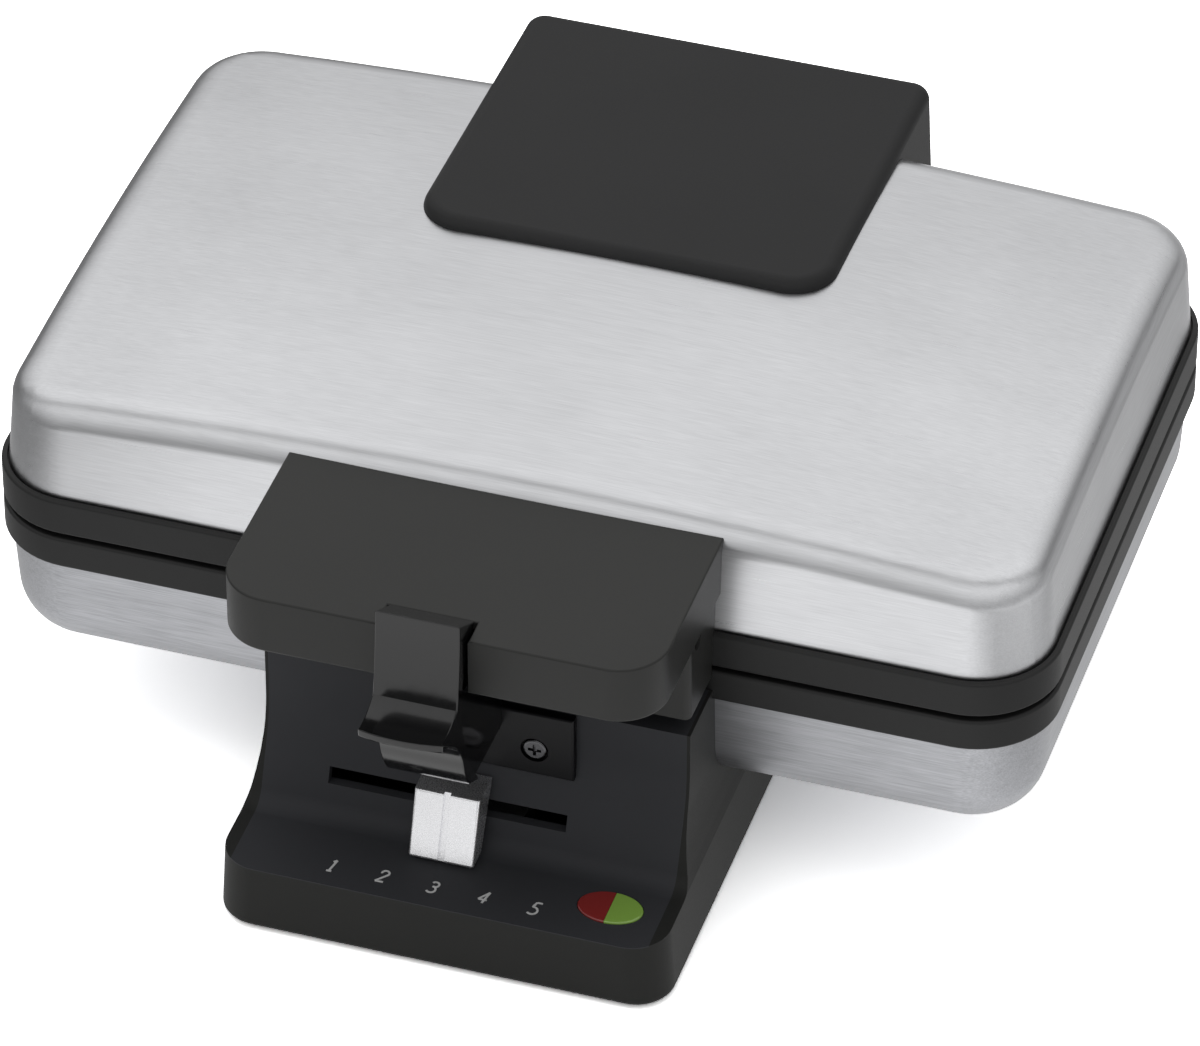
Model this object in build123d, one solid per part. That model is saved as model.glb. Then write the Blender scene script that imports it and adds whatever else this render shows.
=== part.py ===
"""Pizzelle maker: a hinged pair of cast plates in steel shells on a black foot.

Millimetres, +Z up, +X to the right seen from the front, front towards -Y.
The origin is at the middle of the footprint, on the surface that it stands on.
"""
import os
from math import atan, cos, degrees, radians, sin, tan

from build123d import *

# ---------------------------------------------------------------- driving dimensions
# Heights are built up from the table; Y is measured from the middle of the plates.
RIM_WIDTH = 300.0            # both plastic rims, left to right
RIM_DEPTH = 188.9
RIM_CORNER = 23.9
SHELL_UNDERSIDE = 31.0       # table to the bottom of the lower steel shell
LOWER_SHELL_HEIGHT = 33.7
LOWER_RIM_HEIGHT = 9.9
RIM_GAP = 1.6
UPPER_RIM_HEIGHT = 11.2
LID_RISE = 37.1              # crown of the lid above the upper rim
RIM_SOFTENING = 1.0
HALF_GAP = 0.3               # ordinary clearance between pieces that move apart
RUNNING = 0.05               # radial clearance of a pin in a bore that turns or slides

STEEL_THICKNESS = 0.9
STEEL_INSET = 2.0            # rim edge to the steel that stands in its groove
STEEL_CORNER = 22.0
GROOVE_DEPTH = 1.5
GROOVE_SIDE_GAP = 0.4
LID_DRAFT = 4.6              # degrees
LID_EDGE_RADIUS = 10.0
CROWN_RADIUS_X = 1888.0      # crown seen from the front
CROWN_RADIUS_Y = 950.0       # crown seen from the side
PAN_DRAFT = 3.4
PAN_EDGE_RADIUS = 16.0

RIM_BORDER = 7.0             # rim outside the plate, all round
PLATE_WIDTH = RIM_WIDTH - 2 * RIM_BORDER
PLATE_DEPTH = RIM_DEPTH - 2 * RIM_BORDER
PLATE_CORNER = 17.0
PLATE_THICKNESS = 7.2
PLATE_PROUD = 0.4            # plate face beyond its rim
PLATE_SIDE_GAP = 0.3
FLANGE_WIDTH = 8.0           # ledge of the rim behind the plate
MOULD_DIAMETER = 104.0
MOULD_PITCH = 124.0
MOULD_DEPTH = 1.5
RELIEF_HEIGHT = 0.9
PLATE_SCREW_INSET = 4.0      # from the plate's edge
PLATE_SCREW_X = PLATE_WIDTH / 2 - PLATE_SCREW_INSET
PLATE_SCREW_Y = PLATE_DEPTH / 2 - PLATE_SCREW_INSET
PLATE_SCREW_SIDE_Y = 0.34 * PLATE_DEPTH

ELEMENT_RADIUS = 3.3
ELEMENT_SINK = 1.6           # depth of the groove in the plate's back
ELEMENT_FIT = 0.05
ELEMENT_SIDE_INSET = 31.0    # heater to the plate's short edges
ELEMENT_LONG_INSET = 37.45   # heater to the plate's long edges
ELEMENT_HALF_WIDTH = PLATE_WIDTH / 2 - ELEMENT_SIDE_INSET
ELEMENT_HALF_DEPTH = PLATE_DEPTH / 2 - ELEMENT_LONG_INSET
ELEMENT_BEND = 30.0
TERMINAL_SPACING = 28.0
TERMINAL_LENGTH = 18.0
TERMINAL_BEND = 8.0

REFLECTOR_SHEET = 0.6
REFLECTOR_BRIM_INSET = 4.95  # brim inside the plate's edge
REFLECTOR_TRAY_SIDE_INSET = 17.0
REFLECTOR_TRAY_LONG_INSET = 30.45
REFLECTOR_BRIM_WIDTH = PLATE_WIDTH - 2 * REFLECTOR_BRIM_INSET
REFLECTOR_BRIM_DEPTH = PLATE_DEPTH - 2 * REFLECTOR_BRIM_INSET
REFLECTOR_TRAY_WIDTH = PLATE_WIDTH - 2 * REFLECTOR_TRAY_SIDE_INSET
REFLECTOR_TRAY_DEPTH = PLATE_DEPTH - 2 * REFLECTOR_TRAY_LONG_INSET
REFLECTOR_TRAY_DROP = 8.2
REFLECTOR_CORNER = 14.0

NECK_HALF_WIDTH = 60.0       # the foot, the handle and the rear cover are sized from it
PILLAR_X = NECK_HALF_WIDTH - 10.0
PILLAR_Y = RIM_DEPTH / 2 - 28.45
PILLAR_RADIUS = 4.5
PILLAR_TAB_WIDTH = 12.0

NECK_FRONT = -RIM_DEPTH / 2 - 20.15
HINGE_Y = RIM_DEPTH / 2 + 13.05
FOOT_FRONT = NECK_FRONT - 36.2
FOOT_BACK = HINGE_Y + 6.5
FOOT_UNDERSIDE = 0.8         # the rubber feet lift the housing by this much
FOOT_SHELF = 21.8
FOOT_SHELF_RISE = 0.4        # the shelf climbs this much towards the neck
FOOT_CORNER = 11.0
FOOT_EDGE = 2.0
FOOT_HALF_WIDTH_SHELF = NECK_HALF_WIDTH + 2.9
FOOT_HALF_WIDTH_LOW = FOOT_HALF_WIDTH_SHELF + 1.4
NECK_TOP = 68.0
NECK_FLARE_START = 47.5      # height where the neck begins to sweep forwards
NECK_FLARE_FOOT = NECK_FRONT - 9.7  # where it meets the shelf
NECK_FLARE_RADIUS = 40.0
NECK_COVE_RADIUS = 7.0
NECK_SIDE_START = 44.0
NECK_SIDE_BULGE = 0.8        # spread of the neck's side halfway down to the shelf
TOWER_TOP = 60.0
TOWER_FRONT = PILLAR_Y - 4.0
BASE_WALL = 2.6
SCREW_SINK = 0.9             # depth of a flat screw head in the floor it holds
COVER_SHEET = 2.2
COVER_GAP = 0.3
COVER_SCREW_X = NECK_HALF_WIDTH - 14.0
COVER_SCREW_FRONT = (24.0, FOOT_FRONT + 12.8)
COVER_SCREW_ROWS = (0.0, FOOT_BACK - 30.0)
FOOT_PAD_X = NECK_HALF_WIDTH - 12.0
FOOT_PAD_FRONT = FOOT_FRONT + 18.8
FOOT_PAD_BACK = FOOT_BACK - 16.0
FOOT_PAD_RADIUS = 7.0
FOOT_PAD_SINK = 1.4

HINGE_Z = 78.0
HINGE_PIN_RADIUS = 2.5
HINGE_BARREL_RADIUS = 6.5
EAR_INNER = NECK_HALF_WIDTH - 16.0  # inner face of the foot's hinge ears
EAR_WIDTH = 8.0
EAR_STEM_BACK = 3.0          # rear face of the ear's stem behind the pin
KNUCKLE_WIDTH = 9.7
KNUCKLE_WEB_LOW = 8.2        # web between knuckle and cover, above the pin
KNUCKLE_WEB_HIGH = 34.0
HINGE_HEAD_RADIUS = 4.0
HINGE_HEAD_LENGTH = 1.8

REAR_COVER_HALF_WIDTH = NECK_HALF_WIDTH - 0.8
REAR_COVER_FRONT = 9.5
REAR_COVER_BACK = HINGE_Y + 10.5
REAR_COVER_TOP = 127.3       # at its front edge
REAR_COVER_FALL = 2.2        # degrees, towards the back
REAR_COVER_BOTTOM = 86.0
REAR_COVER_FRONT_CORNER = 13.0
REAR_COVER_BACK_CORNER = 5.0
REAR_COVER_DRAFT = 2.6
REAR_COVER_EDGE = 4.0
REAR_COVER_WALL = 2.6
REAR_SCREW_X = 22.0
REAR_SCREW_Z = 101.0

GRIP_HALF_WIDTH = NECK_HALF_WIDTH + 1.0
GRIP_FRONT = NECK_FRONT - 35.8
GRIP_TOP = 116.2
GRIP_THICKNESS = 17.7
GRIP_CORNER = 14.0
GRIP_WALL = 2.6
GRIP_FLOOR = 2.2
CHEEK_HALF_WIDTH = NECK_HALF_WIDTH - 0.2
CHEEK_BOTTOM = 73.3
CHEEK_FRONT = NECK_FRONT
CHEEK_BACK = -RIM_DEPTH / 2 - 0.35
CHEEK_WALL = 2.6
HANDLE_SCREW_X = NECK_HALF_WIDTH - 24.0
HANDLE_SCREW_Z = 93.0
GRIP_SCREW_X = GRIP_HALF_WIDTH - 17.0
GRIP_SCREW_Y = GRIP_FRONT + 22.4

LATCH_CENTRE = -2.4
LATCH_WIDTH = 23.4
LATCH_PIVOT_Y = NECK_FRONT + 6.9
LATCH_PIVOT_Z = 95.6
LATCH_PIN_RADIUS = 2.0
LATCH_PIN_HEAD_RADIUS = 2.7
LATCH_PIN_SINK = 1.2          # the pin's end lies this deep in its hole
LATCH_CHEEK_WALL = 3.0
LATCH_BOSS_RADIUS = 5.2
LATCH_WEB_INSET = 1.0
LATCH_SIDE_GAP = 0.7
LATCH_TOP_REAR = GRIP_FRONT + 8.0  # rear edge of the lever's top, just over the slab
LATCH_OVER_GRIP = 0.4        # rear edge of the lever's top above the slab
LATCH_FACE = {               # side view of the face plate, from the pivot: towards the back, up
    "top_front": (-46.9, 28.4), "front_bow": (-47.6, 15.4), "ledge": (-49.7, 2.4), "lip_dip": (-55.8, 0.3),
    "lip_top": (-64.7, 0.8), "lip_low": (-64.7, -1.4), "lip_under": (-52.6, -7.6), "heel": (-45.0, -20.7),
    "toe_bow": (-42.9, -25.8), "toe_front": (-39.9, -30.6), "toe_back": (-31.9, -35.0),
    "back_bow": (-42.5, -16.1), "knee": (-46.7, -0.2), "wedge_bow": (-42.9, 10.9)}
LATCH_WEB = ((-45.3, 8.4), (-41.3, 2.5), (0.0, 1.4), (0.0, -3.0), (-4.3, -9.6), (-4.3, -26.6),
             (-33.9, -33.1), (-43.7, -17.6), (-48.5, -1.6), (-47.7, 5.4))
LATCH_WEB_LOW = -33.7        # the web's lowest corner, at the catch
LATCH_LIP_SIDE = -61.9       # the lip's front edge bows from here at its ends
LATCH_LIP_MIDDLE = -63.7
NOTCH_BACK = GRIP_FRONT + 8.4  # rear of the grip's notch
NOSE_WIDTH = 19.0
NOSE_BACK = NECK_FRONT + 3.4
NOSE_BOTTOM = 60.0
SPRING_WIRE = 0.5
SPRING_RADIUS = 3.4
SPRING_PITCH = 1.6
SPRING_TURNS = 5

CATCH_LEFT = -17.0
CATCH_RIGHT = 28.3
CATCH_BOTTOM = 46.2
CATCH_TOP = 67.3
CATCH_STRIP_BOTTOM = 64.0    # the nose hooks under the strip above this height
CATCH_WINDOW_BOTTOM = 59.5
CATCH_WINDOW_SIDE_GAP = 0.5
CATCH_THICKNESS = 3.0
CATCH_SCREW_X = 17.3
CATCH_SCREW_Z = 54.7
CATCH_SCREW_HIDDEN_X = -9.0
CATCH_EDGE = 0.5

THERMOSTAT_X = 0.0
THERMOSTAT_LENGTH = 34.0
THERMOSTAT_DEPTH = 18.0
THERMOSTAT_HEIGHT = 9.0
THERMOSTAT_GAP = 1.7         # between the heater's front run and the thermostat
THERMOSTAT_Y = ELEMENT_RADIUS + THERMOSTAT_GAP + THERMOSTAT_DEPTH / 2 - ELEMENT_HALF_DEPTH
THERMOSTAT_NECK_RADIUS = 4.0
THERMOSTAT_NECK_LENGTH = 8.0
CONTROL_PIN_RADIUS = 2.0
CONTROL_PIN_DEPTH = 6.0      # length inside the thermostat

SLOT_LEFT = -40.5
SLOT_RIGHT = 27.1
SLOT_LOW = 31.0
SLOT_HIGH = 35.6
KNOB_CENTRE = -4.0
KNOB_WIDTH = 18.5
KNOB_BOTTOM = 23.0
KNOB_TOP = 42.0
KNOB_FRONT_LOW = FOOT_FRONT + 16.2
KNOB_FRONT_HIGH = FOOT_FRONT + 22.8
KNOB_EDGE = 0.8
KNOB_GAP = 0.6               # knob to the sloping face behind it
KNOB_HEEL = 3.4              # cut-back of the knob's lower rear corner
KNOB_GROOVE_WIDTH = 1.8
KNOB_GROOVE_DEPTH = 1.0
STEM_OFFSET = -2.5           # stem's middle from the knob's middle
STEM_WIDTH = 6.0
TRAVEL_LEFT = 27.5
TRAVEL_RIGHT = 29.2
ROD_RADIUS = 2.0
ROD_FRONT_Y = NECK_FRONT + 7.6
ROD_BACK_Y = THERMOSTAT_Y - 12.0
ROD_Z = 18.0
CARRIAGE_WIDTH = 30.0
CARRIAGE_THICKNESS = 7.0
RAMP_SLOPE = 0.08            # rise for each millimetre of travel
RAMP_END = 0.8               # ramp beyond the pin at each end of the travel
RAMP_WIDTH = 8.0
RAMP_HEIGHT = 3.2            # above the carriage, under the pin at rest

NUMBER_MIDDLE_X = -3.0       # the numeral 3
NUMBER_PITCH = 14.3
NUMBER_Y = FOOT_FRONT + 7.8
NUMBER_HEIGHT = 4.5
NUMBER_STROKE = 0.6
NUMBER_SLANT = 0.22
NUMBER_PRINT = 0.12

LENS_X = FOOT_HALF_WIDTH_SHELF - 18.1
LENS_Y = FOOT_FRONT + 14.0
LENS_HALF_LENGTH = 9.1
LENS_HALF_DEPTH = 6.2
LENS_PROUD = 0.7
LENS_FLANGE = 1.4
LENS_SPLIT_GAP = 0.1
LAMP_RADIUS = 2.5
LAMP_LENGTH = 4.5
BOARD_THICKNESS = 1.6
BOARD_LENGTH = 26.0
BOARD_DEPTH = 16.0
BOARD_Z = 9.0

GLAND_X = 30.0
GLAND_Z = 20.0
GLAND_BORE = 3.6             # radius for a 7 mm lead
GLAND_RADIUS = 6.0
GLAND_SLOT_HALF = 7.5         # the block slides up into a slot that is open below
GLAND_LIP = 2.0              # overlap of its flanges on the rear wall
GLAND_FLANGE = 2.0
GLAND_INNER_FLANGE = 1.5
GLAND_LENGTH = 12.0
TERMINAL_BLOCK_Y = FOOT_BACK - 36.0

PILOT_RADIUS = 1.6           # hole that a screw cuts its thread in
CLEAR_RADIUS = 2.0           # hole that a screw passes through
BOSS_RADIUS = 4.0
HEAD_RADIUS = 3.4
FLAT_HEAD_RADIUS = 3.2
FLAT_HEAD_HEIGHT = 0.8
FLAT_HEAD_SINK = 3.6         # radius of the recess for a flat head
PAN_HEAD_HEIGHT = 2.2
PLATE_SCREW_RADIUS = 1.5
PLATE_SCREW_GRIP = 4.0       # screw inside the plate
BODY_SCREW_LENGTH = 22.0
BODY_HEAD_RADIUS = 3.6
BOTTOM_SCREW_LENGTH = 10.0
HANDLE_SCREW_LENGTH = 12.0
GRIP_SCREW_LENGTH = 9.0
REAR_SCREW_LENGTH = 26.0
CATCH_SCREW_LENGTH = 9.5
CATCH_HEAD_HEIGHT = 1.7
CATCH_HEAD_SINK = 1.8        # depth of the recess for the catch screw's head
REAR_HEAD_SINK = 8.0         # depth of the rear screws' heads in their tubes
TUBE_RADIUS = 4.5            # tubes of the rear cover's screws

# ---------------------------------------------------------------- derived heights
LOWER_RIM_LOW = SHELL_UNDERSIDE + LOWER_SHELL_HEIGHT
LOWER_RIM_TOP = LOWER_RIM_LOW + LOWER_RIM_HEIGHT
UPPER_RIM_LOW = LOWER_RIM_TOP + RIM_GAP
UPPER_RIM_TOP = UPPER_RIM_LOW + UPPER_RIM_HEIGHT
LID_TOP = UPPER_RIM_TOP + LID_RISE
LOWER_FACE = LOWER_RIM_TOP + PLATE_PROUD
UPPER_FACE = UPPER_RIM_LOW - PLATE_PROUD
LOWER_BACK = LOWER_FACE - PLATE_THICKNESS
UPPER_BACK = UPPER_FACE + PLATE_THICKNESS
STEEL_WIDTH = RIM_WIDTH - 2 * STEEL_INSET
STEEL_DEPTH = RIM_DEPTH - 2 * STEEL_INSET
GRIP_LOW = GRIP_TOP - GRIP_THICKNESS
FLARE_SLOPE = (NECK_FRONT - NECK_FLARE_FOOT) / (NECK_FLARE_START - FOOT_SHELF - FOOT_SHELF_RISE)


# ---------------------------------------------------------------- small helpers
def block(xs, ys, zs):
    """A box between pairs of limits."""
    middle = [(low + high) / 2 for low, high in (xs, ys, zs)]
    return Pos(*middle) * Box(*[high - low for low, high in (xs, ys, zs)])


def rod(radius, start, end):
    """A round bar from one point to another."""
    start, end = Vector(*start), Vector(*end)
    return Part() + Solid.make_cylinder(radius, (end - start).length, Plane(start, z_dir=end - start))


def slab(width, depth, corner, low, high):
    """A plate with rounded corners, centred on the plates' middle."""
    return Pos(0, 0, low) * extrude(RectangleRounded(width, depth, corner), high - low)


def side_prism(face, x_low, x_high):
    """A side view in Y and Z, drawn out along X."""
    return Pos(x_low, 0, 0) * extrude(Plane.YZ * face, x_high - x_low, dir=(1, 0, 0))


def level(edges, height):
    """The edges that lie flat at one height."""
    return [e for e in edges if abs(e.bounding_box().min.Z - height) < 0.01
            and abs(e.bounding_box().max.Z - height) < 0.01]


def screw(head_radius, head_height, shank_radius, length):
    """A cross-head pan screw; its head's seat is at the origin and it points down."""
    head = fillet(level(Cylinder(head_radius, head_height,
                                 align=(Align.CENTER, Align.CENTER, Align.MIN)).edges(), head_height),
                  head_height * 0.45)
    cross_depth = head_height * 0.6
    for turn in (0, 90):
        bar = Box(head_radius * 1.1, head_radius * 0.28, cross_depth)
        head -= Rot(0, 0, turn) * Pos(0, 0, head_height - cross_depth / 2) * bar
    shank = Cylinder(shank_radius, length, align=(Align.CENTER, Align.CENTER, Align.MAX))
    return head + shank


def mirrored(shape):
    """The shape and its mirror image across the middle plane."""
    return Part() + [shape, mirror(shape, about=Plane.YZ)]


# ---------------------------------------------------------------- steel shells
def crown(top):
    """A block under a gently domed surface whose highest point is at the given height."""
    reach = RIM_DEPTH / 2 + 20
    drop = CROWN_RADIUS_Y - (CROWN_RADIUS_Y ** 2 - reach ** 2) ** 0.5
    deep = top - 70
    arc = ThreePointArc((-reach, top - drop), (0, top), (reach, top - drop))
    sides = Polyline((reach, top - drop), (reach, deep), (-reach, deep), (-reach, top - drop))
    axis = Axis((0, 0, top - CROWN_RADIUS_X), (0, 1, 0))
    sweep_angle = 2 * degrees(atan((RIM_WIDTH / 2 + 20) / (CROWN_RADIUS_X - 70)))
    dome = revolve(Plane.YZ * make_face(arc + sides), axis, sweep_angle)
    return dome.rotate(axis, -sweep_angle / 2)


def lid_form(inside=0.0):
    """The lid's outer shape, or the same shape smaller by a wall."""
    low = UPPER_RIM_TOP - GROOVE_DEPTH
    outline = RectangleRounded(STEEL_WIDTH - 2 * inside, STEEL_DEPTH - 2 * inside, STEEL_CORNER - inside)
    walls = Pos(0, 0, low) * extrude(outline, LID_RISE + 10, taper=LID_DRAFT)
    form = walls & crown(LID_TOP - inside)
    rim = [e for e in form.edges() if e.center().Z > LID_TOP - 20 and e.bounding_box().size.Z < 8]
    return fillet(rim, LID_EDGE_RADIUS - inside)


def pan_form(inside=0.0):
    """The lower shell's outer shape; a negative wall makes it larger."""
    high = LOWER_RIM_LOW + GROOVE_DEPTH
    low = SHELL_UNDERSIDE + inside
    outline = RectangleRounded(STEEL_WIDTH - 2 * inside, STEEL_DEPTH - 2 * inside, STEEL_CORNER - inside)
    walls = extrude(Pos(0, 0, high) * outline, high - low, dir=(0, 0, -1), taper=PAN_DRAFT)
    return fillet(level(walls.edges(), low), PAN_EDGE_RADIUS - inside)


def rim_block(low, high, grow=0.0):
    """The plain outer body of a rim."""
    body = slab(RIM_WIDTH + 2 * grow, RIM_DEPTH + 2 * grow, RIM_CORNER + grow, low - grow, high + grow)
    return fillet(level(body.edges(), low - grow) + level(body.edges(), high + grow), RIM_SOFTENING)


def steel_groove(low, high):
    """The slot that takes the edge of a steel shell."""
    outer = STEEL_INSET - GROOVE_SIDE_GAP
    inner = STEEL_INSET + STEEL_THICKNESS + GROOVE_SIDE_GAP
    return (slab(RIM_WIDTH - 2 * outer, RIM_DEPTH - 2 * outer, RIM_CORNER - outer, low, high)
            - slab(RIM_WIDTH - 2 * inner, RIM_DEPTH - 2 * inner, RIM_CORNER - inner, low, high))


def pillar_points():
    """Places of the screw pillars and the tabs that carry them."""
    return [(sx * PILLAR_X, sy * PILLAR_Y) for sx in (-1, 1) for sy in (-1, 1)]


def plate_screw_points():
    """Six screws through the ledge into the plate."""
    return [(sx * PLATE_SCREW_X, sy * PLATE_SCREW_SIDE_Y) for sx in (-1, 1) for sy in (-1, 1)] + \
           [(0, -PLATE_SCREW_Y), (0, PLATE_SCREW_Y)]


def rim(low, high, back, face_side):
    """A rim with a pocket for the plate, a ledge behind it and the steel shell's groove."""
    ring = rim_block(low, high)
    pocket = (back, high + 1) if face_side > 0 else (low - 1, back)
    ring -= slab(PLATE_WIDTH + 2 * PLATE_SIDE_GAP, PLATE_DEPTH + 2 * PLATE_SIDE_GAP,
                 PLATE_CORNER + PLATE_SIDE_GAP, *pocket)
    window = slab(PLATE_WIDTH - 2 * FLANGE_WIDTH, PLATE_DEPTH - 2 * FLANGE_WIDTH,
                  PLATE_CORNER - FLANGE_WIDTH, low - 1, high + 1)
    ledge = (low, back) if face_side > 0 else (back, high)
    for x, y in pillar_points():
        tab_y = sorted((y - PILLAR_TAB_WIDTH / 2 if y > 0 else y + PILLAR_TAB_WIDTH / 2,
                        y / abs(y) * PLATE_DEPTH / 2))
        window -= block((x - PILLAR_TAB_WIDTH / 2, x + PILLAR_TAB_WIDTH / 2), tab_y, ledge)
    ring -= window
    if face_side > 0:
        return ring - steel_groove(low, low + GROOVE_DEPTH)
    return ring - steel_groove(high - GROOVE_DEPTH, high)


# ---------------------------------------------------------------- plates and heaters
def relief():
    """A plain snowflake of rings, spokes, diamonds and arrow tips for one mould."""
    radius = MOULD_DIAMETER / 2
    line = 1.8
    figure = Circle(radius * 0.13) - Circle(radius * 0.07)
    for share in (0.30, 0.66, 0.93):
        figure += Circle(radius * share + line / 2) - Circle(radius * share - line / 2)
    for step in range(6):
        turn = Rot(0, 0, step * 60)
        figure += turn * Pos(radius * 0.49, 0) * Rectangle(radius * 0.78, line)
        for side in (-1, 1):
            figure += turn * Pos(radius * 0.52, side * radius * 0.09) * Rot(0, 0, side * 45) * \
                Rectangle(radius * 0.26, line)
        half = Rot(0, 0, step * 60 + 30)
        diamond = Rectangle(radius * 0.2, radius * 0.2) - Rectangle(radius * 0.1, radius * 0.1)
        figure += half * Pos(radius * 0.48, 0) * Rot(0, 0, 45) * diamond
        for side in (-1, 1):
            figure += half * Pos(radius * 0.80, side * radius * 0.12) * Circle(radius * 0.06)
    return figure


def element_path(level_z, end_z):
    """The heater's centre line: a loop round both moulds with two ends turned away."""
    x, y, t = ELEMENT_HALF_WIDTH, ELEMENT_HALF_DEPTH, TERMINAL_SPACING / 2
    points = [(-t, y, end_z), (-t, y, level_z), (-x, y, level_z), (-x, -y, level_z),
              (x, -y, level_z), (x, y, level_z), (t, y, level_z), (t, y, end_z)]
    radii = [TERMINAL_BEND] + [ELEMENT_BEND] * 4 + [TERMINAL_BEND]
    return FilletPolyline(*points, radius=radii)


def element_solid(centre, away, radius):
    """The heater tube along its path; away is the direction of its ends."""
    path = element_path(centre, centre + away * TERMINAL_LENGTH)
    return sweep(Plane(path @ 0, z_dir=path % 0) * Circle(radius), path)


def plate(face, back):
    """A cast plate with two round moulds and the heater's seat on its back."""
    out = 1 if face > back else -1
    body = slab(PLATE_WIDTH, PLATE_DEPTH, PLATE_CORNER, min(face, back), max(face, back))
    body = fillet(level(body.edges(), face), 1.0)
    floor = face - out * MOULD_DEPTH
    for side in (-1, 1):
        x = side * MOULD_PITCH / 2
        dish = Pos(x, 0, (face + floor) / 2) * Cylinder(MOULD_DIAMETER / 2, MOULD_DEPTH)
        raised = Pos(x, 0, floor if out > 0 else floor - RELIEF_HEIGHT) * extrude(relief(), RELIEF_HEIGHT)
        body = body - dish + raised
    seat = element_solid(back + out * (ELEMENT_SINK - ELEMENT_RADIUS), -out, ELEMENT_RADIUS + ELEMENT_FIT)
    body -= seat
    for x, y in plate_screw_points():
        body -= rod(PLATE_SCREW_RADIUS, (x, y, back), (x, y, back + out * (PLATE_SCREW_GRIP + 0.5)))
    return body


def plate_screws(back, out, ledge):
    """Screws from behind the ledge into the plate."""
    turn = Rot(180, 0, 0) if out > 0 else Rot(0, 0, 0)
    one = screw(FLAT_HEAD_RADIUS, PAN_HEAD_HEIGHT, PLATE_SCREW_RADIUS, abs(ledge - back) + PLATE_SCREW_GRIP)
    return Part() + [Pos(x, y, ledge) * turn * one for x, y in plate_screw_points()]


def reflector(seat, away):
    """A pressed tray that throws the heat back; its brim lies against the ledge."""
    far = seat + away * REFLECTOR_SHEET
    bottom = seat + away * REFLECTOR_TRAY_DROP
    brim = slab(REFLECTOR_BRIM_WIDTH, REFLECTOR_BRIM_DEPTH, REFLECTOR_CORNER, min(seat, far), max(seat, far))
    outer = slab(REFLECTOR_TRAY_WIDTH, REFLECTOR_TRAY_DEPTH, REFLECTOR_CORNER,
                 min(seat, bottom), max(seat, bottom))
    inset = 2 * REFLECTOR_SHEET
    inner_end = bottom - away * REFLECTOR_SHEET
    inner = slab(REFLECTOR_TRAY_WIDTH - inset, REFLECTOR_TRAY_DEPTH - inset,
                 REFLECTOR_CORNER - REFLECTOR_SHEET, min(seat, inner_end), max(seat, inner_end))
    tray = brim + outer - inner
    for x, y in pillar_points():
        tray -= Pos(x, y, seat) * Cylinder(PILLAR_RADIUS + 1.0, 4)
    for x, y in plate_screw_points():
        tray -= Pos(x, y, seat) * Cylinder(4.2, 4)
    for side in (-1, 1):
        terminal = Pos(side * TERMINAL_SPACING / 2, ELEMENT_HALF_DEPTH, bottom)
        tray -= terminal * Cylinder(ELEMENT_RADIUS + 1.2, 4)
    return tray


# ---------------------------------------------------------------- the foot
def foot_side_view(low):
    """The foot's outline in Y and Z down to the given height."""
    front = FilletPolyline((NECK_FRONT, NECK_TOP), (NECK_FRONT, NECK_FLARE_START),
                           (NECK_FLARE_FOOT, FOOT_SHELF + FOOT_SHELF_RISE), (FOOT_FRONT, FOOT_SHELF),
                           radius=[NECK_FLARE_RADIUS, NECK_COVE_RADIUS])
    middle = LOWER_RIM_LOW - 10
    rest = Polyline((FOOT_FRONT, FOOT_SHELF), (FOOT_FRONT, low), (FOOT_BACK, low), (FOOT_BACK, TOWER_TOP),
                    (TOWER_FRONT, TOWER_TOP), (TOWER_FRONT, middle), (-TOWER_FRONT, middle),
                    (-TOWER_FRONT, NECK_TOP), (NECK_FRONT, NECK_TOP))
    return make_face(front + rest)


def foot_front_view(low):
    """The foot's outline in X and Z: straight at the neck, spreading to the bottom."""
    shelf = FOOT_SHELF + FOOT_SHELF_RISE + 0.4
    lean = (FOOT_HALF_WIDTH_LOW - FOOT_HALF_WIDTH_SHELF) / shelf
    low_width = FOOT_HALF_WIDTH_LOW - lean * low
    right = Polyline((NECK_HALF_WIDTH, NECK_TOP), (NECK_HALF_WIDTH, NECK_SIDE_START))
    bulge = ThreePointArc((NECK_HALF_WIDTH, NECK_SIDE_START),
                          (NECK_HALF_WIDTH + NECK_SIDE_BULGE, (NECK_SIDE_START + shelf) / 2),
                          (FOOT_HALF_WIDTH_SHELF, shelf))
    skirt = Line((FOOT_HALF_WIDTH_SHELF, shelf), (low_width, low))
    half = right + bulge + skirt
    other = mirror(half, about=Plane.YZ)
    caps = Line((low_width, low), (-low_width, low)) + \
        Line((-NECK_HALF_WIDTH, NECK_TOP), (NECK_HALF_WIDTH, NECK_TOP))
    return make_face(half + other + caps)


def foot_form(wall=0.0):
    """The foot's solid shape, or the hollow inside it for a wall."""
    low = FOOT_UNDERSIDE - 2 * wall
    side, front = foot_side_view(low), foot_front_view(low)
    if wall:
        side, front = offset(side, -wall), offset(front, -wall)
    body = side_prism(side, -FOOT_HALF_WIDTH_LOW - 5, FOOT_HALF_WIDTH_LOW + 5) & \
        extrude(Plane.XZ * front, 200, both=True)
    corners = [e for e in body.edges() if e.center().Y < FOOT_FRONT + wall + 0.5
               and e.bounding_box().size.Z > FOOT_SHELF / 2]
    return fillet(corners, FOOT_CORNER - wall)


def foot_front_at(height):
    """Y of the sloping control face at a height."""
    return NECK_FRONT - max(0.0, NECK_FLARE_START - height) * FLARE_SLOPE


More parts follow.
